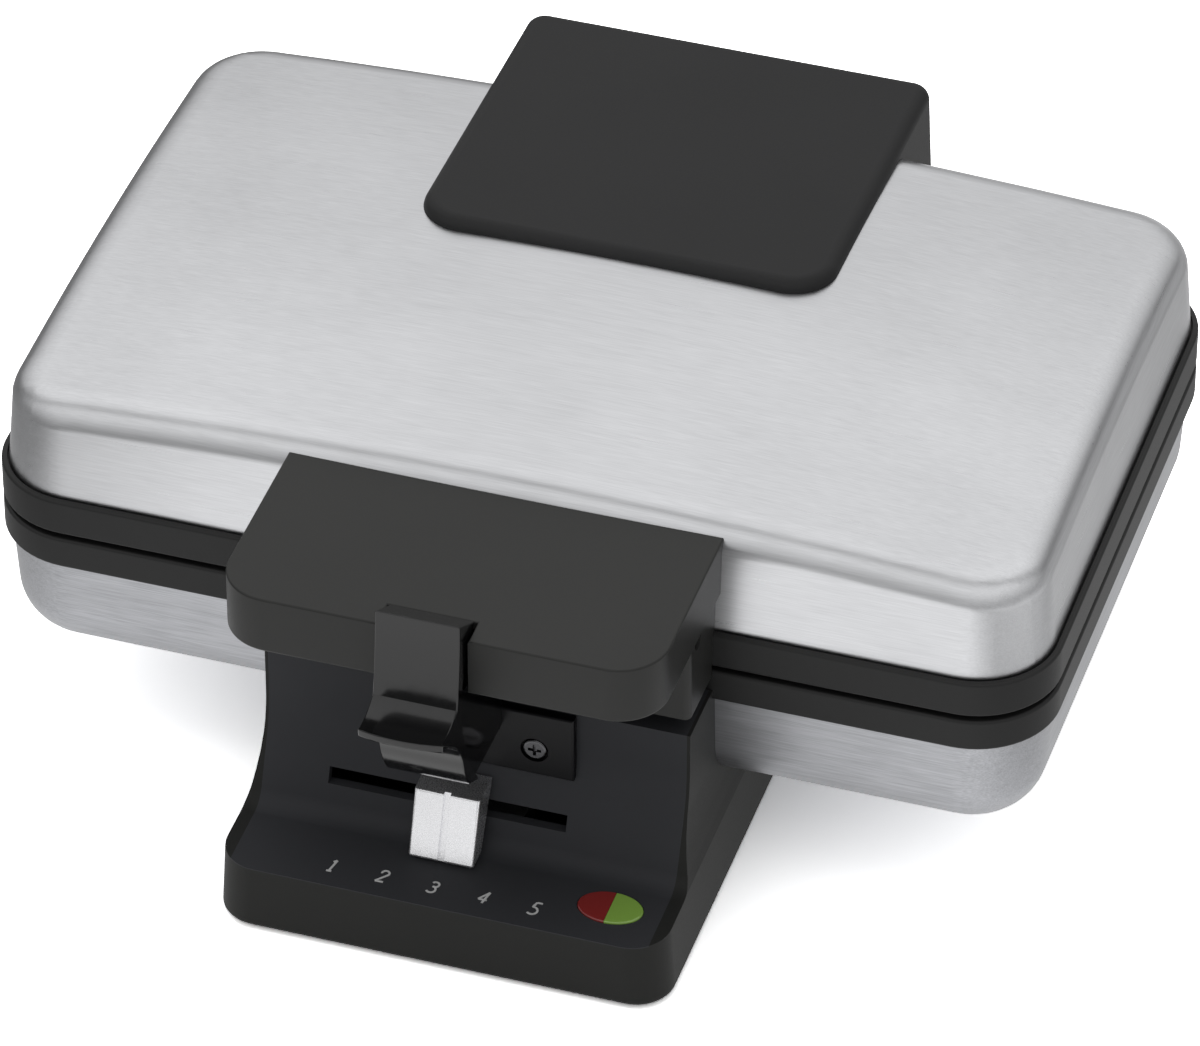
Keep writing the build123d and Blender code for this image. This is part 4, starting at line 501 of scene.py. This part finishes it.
def brushed_steel(name, colour, width, length, roughness=0.30, contrast=0.65):
    """Sheet steel with brushed lines and soft clouds."""
    material, tree, shader, place = new_material(name, Metallic=1.0)
    lines = shared(tree, "Brushed lines", {"Line width": width, "Line length": length})
    clouds = shared(tree, "Moulded grain", {"Size": CLOUD_SIZE})
    join(tree, (place.outputs["Object"], lines.inputs["Position"]),
         (place.outputs["Normal"], lines.inputs["Facing"]),
         (place.outputs["Object"], clouds.inputs["Position"]))
    streaks = maths(tree, "MULTIPLY", lines.outputs["Streaks"], 0.20)
    patches = maths(tree, "MULTIPLY", clouds.outputs["Patches"], 0.30)
    mixed = maths(tree, "ADD", maths(tree, "MULTIPLY", lines.outputs["Lines"], 0.50),
                  maths(tree, "ADD", streaks, patches))
    varied(tree, shader, (*colour, 1), mixed, contrast, lines.outputs["Streaks"], roughness, 0.12)
    bump(tree, shader, lines.outputs["Lines"], BRUSH_DEPTH, 0.6)
    return material


def moulded(name, colour, grain, roughness, depth=GRAIN_DEPTH, specular=PLAIN_SPECULAR, coat=0.0):
    """Moulded plastic or rubber with a fine grain."""
    material, tree, shader, place = new_material(
        name, Specular_IOR_Level=specular, Coat_Weight=coat, Coat_Roughness=0.12)
    grained(tree, shader, place, (*colour, 1), grain, roughness, depth)
    return material


def foot_plastic(name, colour, panel_colour, grain):
    """The foot's plastic, lighter and bluer on the neck and shelf round the heat control."""
    material, tree, shader, place = new_material(name, Specular_IOR_Level=PLAIN_SPECULAR)
    split = tree.nodes.new("ShaderNodeSeparateXYZ")
    inside = maths(tree, "LESS_THAN", maths(tree, "ABSOLUTE", split.outputs[0], 0.0),
                   NECK_HALF - PANEL_MARGIN)
    above = maths(tree, "GREATER_THAN", split.outputs[2], SHELF - PANEL_LIP)
    blend = put(tree, "ShaderNodeMix", data_type="RGBA")
    blend.inputs[6].default_value = (*colour, 1)
    blend.inputs[7].default_value = (*panel_colour, 1)
    join(tree, (place.outputs["Object"], split.inputs[0]),
         (maths(tree, "MULTIPLY", inside, above), blend.inputs[0]))
    grained(tree, shader, place, blend.outputs[2], grain, 0.55, GRAIN_DEPTH)
    return material


def cast_metal(name, colour, grain, roughness, depth=0.06 * MM, metallic=1.0):
    """Cast, plated or pressed metal."""
    material, tree, shader, place = new_material(name, Metallic=metallic)
    grained(tree, shader, place, (*colour, 1), grain, roughness, depth, (0.3, 0.2))
    return material


FINISHES = {}


def finish_of(name):
    """The material of that name; all are built when the first is asked for."""
    if not FINISHES:
        scene = bpy.context.scene
        make_steels(scene.pizzelle_steel)
        make_plastics(scene.pizzelle_plastic)
        make_metals()
        make_control_finishes(scene.pizzelle_control, scene.pizzelle_plastic.grain)
    return FINISHES[name]


def make_steels(steel):
    """The brushed sheets."""
    lines = steel.line_width, steel.line_length
    FINISHES.update({
        "lid_steel": brushed_steel("Lid steel", steel.lid_colour, *lines),
        "shell_steel": brushed_steel("Shell steel", steel.pan_colour, *lines, roughness=0.36,
                                     contrast=1.5),
        "reflector_sheet": brushed_steel("Reflector sheet", (0.62, 0.62, 0.63), *lines,
                                         roughness=0.28),
    })


def make_plastics(plastic):
    """Mouldings, rubber, ceramic and the lamp board."""
    grain = plastic.grain
    handle_colour = [HANDLE_LIFT * channel for channel in plastic.housing_colour]
    FINISHES.update({
        "black_plastic": foot_plastic("Housing plastic", plastic.housing_colour,
                                      plastic.panel_colour, grain),
        "handle_plastic": moulded("Handle plastic", handle_colour, grain, 0.44, specular=0.3),
        "cover_plastic": moulded("Cover plastic", plastic.cover_colour, grain, 0.50,
                                 specular=0.2),
        "rim_plastic": moulded("Rim plastic", plastic.rim_colour, grain, 0.45, specular=0.25),
        "latch_plastic": moulded("Latch plastic", plastic.latch_colour, 4 * grain, 0.14,
                                 depth=0.002 * MM, specular=0.55),
        "inner_plastic": moulded("Inner plastic", (0.08, 0.08, 0.08), grain, 0.55),
        "catch_black": moulded("Catch black", (0.004, 0.004, 0.005), grain, 0.34, specular=0.2),
        "lamp_plastic": moulded("Lamp cap", (0.7, 0.7, 0.68), 1 * MM, 0.15, specular=0.5),
        "board_green": moulded("Lamp board", (0.05, 0.20, 0.10), 0.4 * MM, 0.4),
        "ceramic": moulded("Ceramic block", (0.75, 0.73, 0.68), 0.4 * MM, 0.6),
        "foot_rubber": moulded("Foot rubber", (0.02, 0.02, 0.02), 0.4 * MM, 0.7, specular=0.3),
        "gland_rubber": moulded("Inlet rubber", (0.02, 0.02, 0.02), 0.4 * MM, 0.65,
                                specular=0.3),
    })


def make_metals():
    """The castings, tubes, screws and wires."""
    FINISHES.update({
        "plate_aluminium": cast_metal("Cast plate", (0.24, 0.24, 0.25), 0.6 * MM, 0.42),
        "heater_steel": cast_metal("Heater tube", (0.16, 0.15, 0.14), 1 * MM, 0.5),
        "fuse_metal": cast_metal("Fuse case", (0.55, 0.50, 0.40), 0.4 * MM, 0.35),
        "screw_steel": cast_metal("Screw steel", (0.55, 0.55, 0.56), 0.3 * MM, 0.3,
                                  depth=POLISHED_DEPTH),
        "catch_screw_steel": cast_metal("Catch screw steel", (0.10, 0.10, 0.105), 0.3 * MM, 0.25,
                                        depth=POLISHED_DEPTH),
        "spring_steel": cast_metal("Spring wire", (0.5, 0.5, 0.5), 0.3 * MM, 0.3,
                                   depth=POLISHED_DEPTH),
    })


def make_control_finishes(control, grain):
    """Knob, ink and the two halves of the window."""
    FINISHES.update({
        "knob_silver": cast_metal("Knob silver", control.knob_colour, 0.3 * MM, 0.27,
                                  depth=0.006 * MM, metallic=0.88),
        "print_grey": moulded("Numeral ink", control.print_colour, 0.4 * grain, 0.5),
        "lens_red": moulded("Red window", control.red, 2 * MM, 0.16, depth=POLISHED_DEPTH,
                            specular=0.5, coat=0.5),
        "lens_green": moulded("Green window", control.green, 2 * MM, 0.16, depth=POLISHED_DEPTH,
                              specular=0.5, coat=0.5),
    })


# ---------------------------------------------------------------- the steel shells
def rounded_sheet(width, depth, height, upwards=True):
    """A flat face with rounded corners over the plates' middle; it looks up or down."""
    deselect()
    bpy.ops.mesh.primitive_plane_add(size=1, location=(0, PLATE_MIDDLE_Y, height))
    piece = bpy.context.object
    piece.scale = (width, depth, 1)
    bpy.ops.object.transform_apply(location=True, rotation=True, scale=True)
    edit(piece, "VERT", "SELECT")
    bpy.ops.mesh.bevel(offset=SHELL_CORNER, segments=12, affect="VERTICES")
    if not upwards:
        bpy.ops.mesh.flip_normals()
    close()
    return piece


def draw_wall(piece, run, rise):
    """Insets the face of a sheet by the wall's slope and lifts it by the wall's height."""
    edit(piece, "FACE", "SELECT")
    bpy.ops.mesh.inset(thickness=run, depth=rise, use_even_offset=True)
    close()


def cut_grid(piece, grid, half_width, half_depth):
    """Divides a shell by upright planes."""
    edit(piece, "VERT")
    columns, rows = grid
    for i in range(1, columns):
        x = half_width * (2 * i / columns - 1)
        bpy.ops.mesh.select_all(action="SELECT")
        bpy.ops.mesh.bisect(plane_co=(x, PLATE_MIDDLE_Y, 0), plane_no=(1, 0, 0))
    for i in range(1, rows):
        y = PLATE_MIDDLE_Y + half_depth * (2 * i / rows - 1)
        bpy.ops.mesh.select_all(action="SELECT")
        bpy.ops.mesh.bisect(plane_co=(0, y, 0), plane_no=(0, 1, 0))
    close()


def round_lip(piece, height, radius, draft, segments):
    """Rounds the edge between the sloping wall and the flat face at a height."""
    select_edges(edit(piece), lambda edge: all(abs(vert.co.z - height) < NEAR
                                               for vert in edge.verts))
    bpy.ops.mesh.bevel(offset=radius * tan((pi / 2 - draft) / 2), segments=segments,
                       affect="EDGES", clamp_overlap=False)
    close()


def sheet_wall(piece):
    """Turns the skin outwards and gives it the steel's thickness inwards."""
    edit(piece, "FACE", "SELECT")
    bpy.ops.mesh.remove_doubles(threshold=MERGE)
    bpy.ops.mesh.normals_make_consistent(inside=False)
    close()
    apply_modifier(piece, "SOLIDIFY", thickness=STEEL_SHEET, offset=-1, use_even_offset=True)


def crown_height(top, x, y):
    """Height of the lid's domed face."""
    return top - x * x / (2 * CROWN_X) - (y - PLATE_MIDDLE_Y) ** 2 / (2 * CROWN_Y)


def make_lid():
    """The domed steel lid."""
    low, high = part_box("lid_shell")
    width, depth, rise = high - low
    side_drop = high.z - crown_height(high.z, width / 2, PLATE_MIDDLE_Y)
    piece = name_piece(rounded_sheet(width, depth, low.z), "lid_skin")
    draw_wall(piece, (rise - side_drop) * tan(LID_DRAFT), rise)
    round_lip(piece, high.z, LID_EDGE, LID_DRAFT, 8)
    cut_grid(piece, LID_GRID, width / 2, depth / 2)
    mesh = edit(piece, "VERT")
    for vert in mesh.verts:
        share = (vert.co.z - low.z) / rise
        vert.co.z = low.z + share * (crown_height(high.z, vert.co.x, vert.co.y) - low.z)
    bmesh.update_edit_mesh(piece.data)
    close()
    apply_modifier(piece, "SHRINKWRAP", target=NODES["lid_shell"],
                   wrap_method="NEAREST_SURFACEPOINT")
    sheet_wall(piece)
    smooth(piece, SHEET_CRISP)
    wrap_up(piece, "lid", "lid_steel", "lid_steel", "lid_shell")


def make_pan():
    """The drafted steel shell under the lower plate."""
    low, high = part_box("lower_shell")
    width, depth, rise = high - low
    piece = name_piece(rounded_sheet(width, depth, high.z, False), "lower_shell_skin")
    draw_wall(piece, rise * tan(PAN_DRAFT), rise)
    round_lip(piece, low.z, PAN_EDGE, PAN_DRAFT, 10)
    cut_grid(piece, PAN_GRID, width / 2, depth / 2)
    sheet_wall(piece)
    smooth(piece, SHEET_CRISP)
    wrap_up(piece, "base", "shell_steel", "shell_steel", "lower_shell")


# ---------------------------------------------------------------- the black mouldings
def make_rims():
    """The two black rims round the plates."""
    for node, body in (("upper_rim", "lid"), ("lower_rim", "base")):
        piece = cad_copy(node, node + "_moulding")
        smooth(piece)
        wrap_up(piece, body, "rim_plastic", "rim_plastic", node)


def make_foot():
    """The foot with its control shelf, tower and hinge ears."""
    piece = cad_copy("base_housing", "foot_moulding")
    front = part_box("base_housing")[0].y
    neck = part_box("catch_plate")[1].y
    margin = 0.3 * MM

    def at_side(place):
        """On the neck's side, where it runs outwards to the shelf as well."""
        down = max(0.0, NECK_SIDE_LOW - place.z) / (NECK_SIDE_LOW - SHELF)
        return abs(place.x) > NECK_HALF - 1.1 * MM + down * SHELF_SPREAD

    def at_front(place):
        """On the shelf's front or on one of its round corners."""
        corner = abs(place.x) > NECK_HALF - 9 * MM and place.y < front + FOOT_CORNER + margin
        return place.y < front + margin or corner

    def outline(place):
        """On the outline of the neck and the shelf."""
        ahead = place.z > SHELF - 1 * MM and place.y < neck + 3 * MM
        return ahead and (at_side(place) or at_front(place))

    round_where(piece, outline, FOOT_ROUND, 4)
    smooth(piece)
    wrap_up(piece, "base", "black_plastic", "black_plastic", "base_housing")


def make_handle():
    """The handle slab and the cheek under it."""
    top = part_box("handle_grip")[1].z
    slab = cad_copy("handle_grip", "handle_slab")
    round_where(slab, lambda place: place.z > top - 2 * NEAR, SLAB_ROUND)
    smooth(slab)
    wrap_up(slab, "lid", "black_plastic", "handle_plastic", "handle_grip")
    cheek = cad_copy("handle_base", "handle_cheek")
    smooth(cheek)
    wrap_up(cheek, "lid", "black_plastic", "handle_plastic", "handle_base")


def make_rear_cover():
    """The cover over the back of the lid."""
    piece = cad_copy("rear_cover", "rear_cover_moulding")
    smooth(piece)
    wrap_up(piece, "lid", "cover_plastic", "cover_plastic", "rear_cover")


def make_latch():
    """The polished latch lever, with its side outlines and its lip's front rounded."""
    piece = cad_copy("latch_lever", "latch_lever_moulding")
    low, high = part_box("latch_lever")
    middle, half = (low.x + high.x) / 2, (high.x - low.x) / 2
    round_where(piece, lambda place: abs(place.x - middle) > half - NEAR
                or place.y < low.y + 2 * MM, LATCH_ROUND, clamp=False)
    smooth(piece)
    wrap_up(piece, "latch", "latch_plastic", "latch_plastic", "latch_lever")


def make_catch():
    """The catch plate, with every sharp edge broken."""
    piece = cad_copy("catch_plate", "catch_plate_moulding")
    apply_modifier(piece, "BEVEL", width=CATCH_ROUND, segments=2, limit_method="ANGLE",
                   angle_limit=radians(40), use_clamp_overlap=True, miter_outer="MITER_ARC")
    smooth(piece)
    wrap_up(piece, "base", "catch_black", "catch_black", "catch_plate")


# ---------------------------------------------------------------- controls, plates, inside
def make_heat_control():
    """The silver knob with its rounded groove, its slide and the numerals."""
    piece = cad_copy("slider_knob", "slider_knob_cap")
    low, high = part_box("slider_knob")
    middle = (low.x + high.x) / 2
    round_where(piece, lambda place: abs(place.x - middle) < 1 * MM, GROOVE_ROUND)
    smooth(piece)
    wrap_up(piece, "slider", "knob_silver", "knob_silver", "slider_knob")
    dress("slider_carriage", "inner_plastic")
    dress("slider_rods", "screw_steel")
    dress("scale_numbers", "print_grey")


def make_indicator():
    """The two halves of the indicator window and the lamps under it."""
    for colour in ("red", "green"):
        node = "lens_" + colour
        piece = cad_copy(node, "window_" + colour)
        smooth(piece)
        wrap_up(piece, "base", node, node, node)
    dress("lamps", "lamp_plastic")
    dress("lamp_board", "board_green")


def make_plates():
    """The cast plates with their moulds."""
    for node, body in (("upper_plate", "lid"), ("lower_plate", "base")):
        piece = cad_copy(node, node + "_casting")
        smooth(piece)
        wrap_up(piece, body, "plate_aluminium", "plate_aluminium", node)


def make_inner_parts():
    """Materials of the heaters, the thermostat and the other pieces inside."""
    for node, finish in (("lower_element", "heater_steel"), ("upper_element", "heater_steel"),
                         ("lower_reflector", "reflector_sheet"),
                         ("upper_reflector", "reflector_sheet"),
                         ("thermostat", "ceramic"), ("thermostat_pin", "screw_steel"),
                         ("thermal_fuse", "fuse_metal"), ("terminal_block", "ceramic"),
                         ("bottom_cover", "black_plastic"), ("rubber_feet", "foot_rubber"),
                         ("cord_gland", "gland_rubber"), ("hinge_pins", "screw_steel"),
                         ("latch_pin", "screw_steel"), ("latch_spring", "spring_steel")):
        dress(node, finish)


def make_fasteners():
    """Materials of the screws."""
    for node in NODES:
        if node.endswith("_screws"):
            dress(node, "catch_screw_steel" if node == "catch_screws" else "screw_steel")


# ---------------------------------------------------------------- the stage
def mirrored_rays(tree, path):
    """One for rays that come off a glossy surface or through a clear one."""
    return maths(tree, "MAXIMUM", path.outputs["Is Glossy Ray"],
                 path.outputs["Is Transmission Ray"])


def make_world():
    """A white surround: dull surfaces and reflections each get their own, the camera plain white.

    In reflections it has a wide soft box behind the object, darker round its border.
    """
    world = bpy.data.worlds.new("Studio")
    bpy.context.scene.world = world
    world.use_nodes = True
    tree = world.node_tree
    tree.nodes.clear()
    path = tree.nodes.new("ShaderNodeLightPath")
    place = tree.nodes.new("ShaderNodeTexCoord")
    split = tree.nodes.new("ShaderNodeSeparateXYZ")
    box = put(tree, "ShaderNodeVectorMath", {1: SOFT_BOX}, operation="DOT_PRODUCT")
    join(tree, (place.outputs["Generated"], split.inputs[0]),
         (place.outputs["Generated"], box.inputs[0]))
    dull_light = maths(tree, "MULTIPLY", ramp(tree, split.outputs[2], DULL_HEIGHT), AMBIENT)
    mirror_light = maths(tree, "MULTIPLY", ramp(tree, box.outputs["Value"], SOFT_BOX_EDGE),
                         ramp(tree, split.outputs[2], MIRRORED_HEIGHT))
    dull, mirrored, plain = (put(tree, "ShaderNodeBackground", {"Color": WHITE, "Strength": 1.0})
                             for _ in range(3))
    gloss = tree.nodes.new("ShaderNodeMixShader")
    seen = tree.nodes.new("ShaderNodeMixShader")
    out = tree.nodes.new("ShaderNodeOutputWorld")
    join(tree, (dull_light, dull.inputs["Strength"]), (mirror_light, mirrored.inputs["Strength"]),
         (mirrored_rays(tree, path), gloss.inputs[0]), (dull.outputs[0], gloss.inputs[1]),
         (mirrored.outputs[0], gloss.inputs[2]), (path.outputs["Is Camera Ray"], seen.inputs[0]),
         (gloss.outputs[0], seen.inputs[1]), (plain.outputs[0], seen.inputs[2]),
         (seen.outputs[0], out.inputs["Surface"]))


def make_floor(colour):
    """A wide pale floor that keeps the shadow, whiter to the camera, with painted shade on it in
    reflections.
    """
    deselect()
    bpy.ops.mesh.primitive_plane_add(size=FLOOR_SIZE, location=(0, 0, -FLOOR_DROP))
    floor = name_piece(bpy.context.object, "floor")
    bpy.ops.object.transform_apply(location=True, rotation=True, scale=True)
    material = bpy.data.materials.new("Pale floor")
    material.use_nodes = True
    tree = material.node_tree
    tree.nodes.clear()
    path = tree.nodes.new("ShaderNodeLightPath")
    place = tree.nodes.new("ShaderNodeTexCoord")
    split = tree.nodes.new("ShaderNodeSeparateXYZ")
    join(tree, (place.outputs["Object"], split.inputs[0]))
    across, away = (ramp(tree, maths(tree, "ADD", split.outputs[axis], 0.5), steps)
                    for axis, steps in enumerate((FLOOR_SHADE_ACROSS, FLOOR_SHADE_AWAY)))
    # painted shade: in reflections the floor is darkened by its place
    painted_shade = maths(tree, "MULTIPLY", across, away)
    mirrored = mirrored_rays(tree, path)
    dim = maths(tree, "MULTIPLY", mirrored, maths(tree, "SUBTRACT", painted_shade, 1.0))
    lift = maths(tree, "MULTIPLY", path.outputs["Is Camera Ray"], CAMERA_FLOOR - 1)
    shade = put(tree, "ShaderNodeVectorMath", {0: colour}, operation="SCALE")
    matte = tree.nodes.new("ShaderNodeBsdfDiffuse")
    glow = put(tree, "ShaderNodeEmission", {"Color": WHITE})
    both = tree.nodes.new("ShaderNodeAddShader")
    out = tree.nodes.new("ShaderNodeOutputMaterial")
    join(tree, (maths(tree, "ADD", lift, maths(tree, "ADD", dim, 1.0)), shade.inputs["Scale"]),
         (shade.outputs[0], matte.inputs["Color"]),
         (maths(tree, "MULTIPLY", mirrored, maths(tree, "MULTIPLY", painted_shade, MIRROR_GLOW)),
          glow.inputs["Strength"]),
         (matte.outputs[0], both.inputs[0]), (glow.outputs[0], both.inputs[1]),
         (both.outputs[0], out.inputs["Surface"]))
    floor.data.materials.append(material)


def aim(start, target):
    """The turn that points a lamp or a camera from one place to another."""
    return (Vector(target) - Vector(start)).to_track_quat("-Z", "Y").to_euler()


def add_lamp(name, power, size, place):
    """A soft area lamp that looks at the object; steel shows the surround instead of it."""
    deselect()
    bpy.ops.object.light_add(type="AREA", location=place, rotation=aim(place, LAMP_TARGET))
    lamp = bpy.context.object
    lamp.name = lamp.data.name = name
    lamp.data.energy = power
    lamp.data.shape = "RECTANGLE"
    lamp.data.size, lamp.data.size_y = size
    lamp.visible_glossy = False


def make_camera(stage):
    """The camera at the photograph's angle."""
    target = Vector(CAMERA_TARGET)
    back = Vector((sin(stage.azimuth) * cos(stage.elevation),
                   -cos(stage.azimuth) * cos(stage.elevation), sin(stage.elevation)))
    deselect()
    bpy.ops.object.camera_add(location=target + back * stage.distance,
                              rotation=(-back).to_track_quat("-Z", "Y").to_euler())
    camera = bpy.context.object
    camera.name = camera.data.name = "Camera"
    camera.data.sensor_width = 36
    camera.data.lens = stage.lens
    camera.data.clip_end = 100
    bpy.context.scene.camera = camera


def make_stage():
    """World, floor, lamps, camera and view."""
    stage = bpy.context.scene.pizzelle_stage
    make_world()
    make_floor(stage.floor_colour)
    add_lamp("Key lamp", stage.key_power, (1.6, 1.2), (-0.2, 0.1, 1.6))
    add_lamp("Fill lamp", stage.fill_power, (1.2, 0.9), (-0.7, -1.9, 0.9))
    make_camera(stage)
    bpy.context.scene.view_settings.view_transform = "Standard"


# ---------------------------------------------------------------- operators
class PIZZELLE_OT_stage(bpy.types.Operator):
    """Adds the camera, lamps, floor and world"""
    bl_idname = "pizzelle.stage"
    bl_label = "Stage"
    bl_options = {"REGISTER", "UNDO"}

    def execute(self, context):
        make_stage()
        return {"FINISHED"}


class PIZZELLE_OT_lid(bpy.types.Operator):
    """Builds the domed steel lid"""
    bl_idname = "pizzelle.lid"
    bl_label = "Lid"
    bl_options = {"REGISTER", "UNDO"}

    def execute(self, context):
        make_lid()
        return {"FINISHED"}


class PIZZELLE_OT_pan(bpy.types.Operator):
    """Builds the lower steel shell"""
    bl_idname = "pizzelle.pan"
    bl_label = "Lower shell"
    bl_options = {"REGISTER", "UNDO"}

    def execute(self, context):
        make_pan()
        return {"FINISHED"}


class PIZZELLE_OT_rims(bpy.types.Operator):
    """Builds both rims"""
    bl_idname = "pizzelle.rims"
    bl_label = "Rims"
    bl_options = {"REGISTER", "UNDO"}

    def execute(self, context):
        make_rims()
        return {"FINISHED"}


class PIZZELLE_OT_foot(bpy.types.Operator):
    """Builds the black foot"""
    bl_idname = "pizzelle.foot"
    bl_label = "Foot"
    bl_options = {"REGISTER", "UNDO"}

    def execute(self, context):
        make_foot()
        return {"FINISHED"}


class PIZZELLE_OT_handle(bpy.types.Operator):
    """Builds the handle slab and its cheek"""
    bl_idname = "pizzelle.handle"
    bl_label = "Handle"
    bl_options = {"REGISTER", "UNDO"}

    def execute(self, context):
        make_handle()
        return {"FINISHED"}


class PIZZELLE_OT_rear_cover(bpy.types.Operator):
    """Builds the rear cover"""
    bl_idname = "pizzelle.rear_cover"
    bl_label = "Rear cover"
    bl_options = {"REGISTER", "UNDO"}

    def execute(self, context):
        make_rear_cover()
        return {"FINISHED"}


class PIZZELLE_OT_latch(bpy.types.Operator):
    """Builds the latch lever"""
    bl_idname = "pizzelle.latch"
    bl_label = "Latch"
    bl_options = {"REGISTER", "UNDO"}

    def execute(self, context):
        make_latch()
        return {"FINISHED"}


class PIZZELLE_OT_catch(bpy.types.Operator):
    """Builds the catch plate"""
    bl_idname = "pizzelle.catch"
    bl_label = "Catch plate"
    bl_options = {"REGISTER", "UNDO"}

    def execute(self, context):
        make_catch()
        return {"FINISHED"}


class PIZZELLE_OT_heat_control(bpy.types.Operator):
    """Builds the knob and dresses its slide"""
    bl_idname = "pizzelle.heat_control"
    bl_label = "Heat control"
    bl_options = {"REGISTER", "UNDO"}

    def execute(self, context):
        make_heat_control()
        return {"FINISHED"}


class PIZZELLE_OT_indicator(bpy.types.Operator):
    """Builds the two-coloured window"""
    bl_idname = "pizzelle.indicator"
    bl_label = "Indicator"
    bl_options = {"REGISTER", "UNDO"}

    def execute(self, context):
        make_indicator()
        return {"FINISHED"}


class PIZZELLE_OT_plates(bpy.types.Operator):
    """Builds the patterned plates"""
    bl_idname = "pizzelle.plates"
    bl_label = "Plates"
    bl_options = {"REGISTER", "UNDO"}

    def execute(self, context):
        make_plates()
        return {"FINISHED"}


class PIZZELLE_OT_inner_parts(bpy.types.Operator):
    """Dresses the pieces inside"""
    bl_idname = "pizzelle.inner_parts"
    bl_label = "Inner parts"
    bl_options = {"REGISTER", "UNDO"}

    def execute(self, context):
        make_inner_parts()
        return {"FINISHED"}


class PIZZELLE_OT_fasteners(bpy.types.Operator):
    """Dresses the screws"""
    bl_idname = "pizzelle.fasteners"
    bl_label = "Fasteners"
    bl_options = {"REGISTER", "UNDO"}

    def execute(self, context):
        make_fasteners()
        return {"FINISHED"}


# ---------------------------------------------------------------- panel and registration
OPERATORS = (PIZZELLE_OT_stage, PIZZELLE_OT_lid, PIZZELLE_OT_pan, PIZZELLE_OT_rims,
             PIZZELLE_OT_foot, PIZZELLE_OT_handle, PIZZELLE_OT_rear_cover, PIZZELLE_OT_latch,
             PIZZELLE_OT_catch, PIZZELLE_OT_heat_control, PIZZELLE_OT_indicator,
             PIZZELLE_OT_plates, PIZZELLE_OT_inner_parts, PIZZELLE_OT_fasteners)
SETTINGS = {"pizzelle_steel": SteelSettings, "pizzelle_plastic": PlasticSettings,
            "pizzelle_control": ControlSettings, "pizzelle_stage": StageSettings}


class PIZZELLE_PT_panel(bpy.types.Panel):
    """The pieces of the pizzelle maker, in the order they are made."""
    bl_label = "Pizzelle maker"
    bl_idname = "PIZZELLE_PT_panel"
    bl_space_type = "VIEW_3D"
    bl_region_type = "UI"
    bl_category = "Pizzelle"

    def draw(self, context):
        for group, settings in SETTINGS.items():
            box = self.layout.box()
            for key in settings.__annotations__:
                box.prop(getattr(context.scene, group), key)
        for made in OPERATORS:
            self.layout.operator(made.bl_idname)


def register():
    for group, settings in SETTINGS.items():
        bpy.utils.register_class(settings)
        setattr(bpy.types.Scene, group, PointerProperty(type=settings))
    for made in (*OPERATORS, PIZZELLE_PT_panel):
        bpy.utils.register_class(made)


def unregister():
    for made in reversed((*OPERATORS, PIZZELLE_PT_panel)):
        bpy.utils.unregister_class(made)
    for group, settings in SETTINGS.items():
        delattr(bpy.types.Scene, group)
        bpy.utils.unregister_class(settings)


def main():
    """Builds everything in order."""
    register()
    bpy.ops.pizzelle.stage()
    bpy.ops.pizzelle.lid()
    bpy.ops.pizzelle.pan()
    bpy.ops.pizzelle.rims()
    bpy.ops.pizzelle.foot()
    bpy.ops.pizzelle.handle()
    bpy.ops.pizzelle.rear_cover()
    bpy.ops.pizzelle.latch()
    bpy.ops.pizzelle.catch()
    bpy.ops.pizzelle.heat_control()
    bpy.ops.pizzelle.indicator()
    bpy.ops.pizzelle.plates()
    bpy.ops.pizzelle.inner_parts()
    bpy.ops.pizzelle.fasteners()


if __name__ == "__main__":
    main()
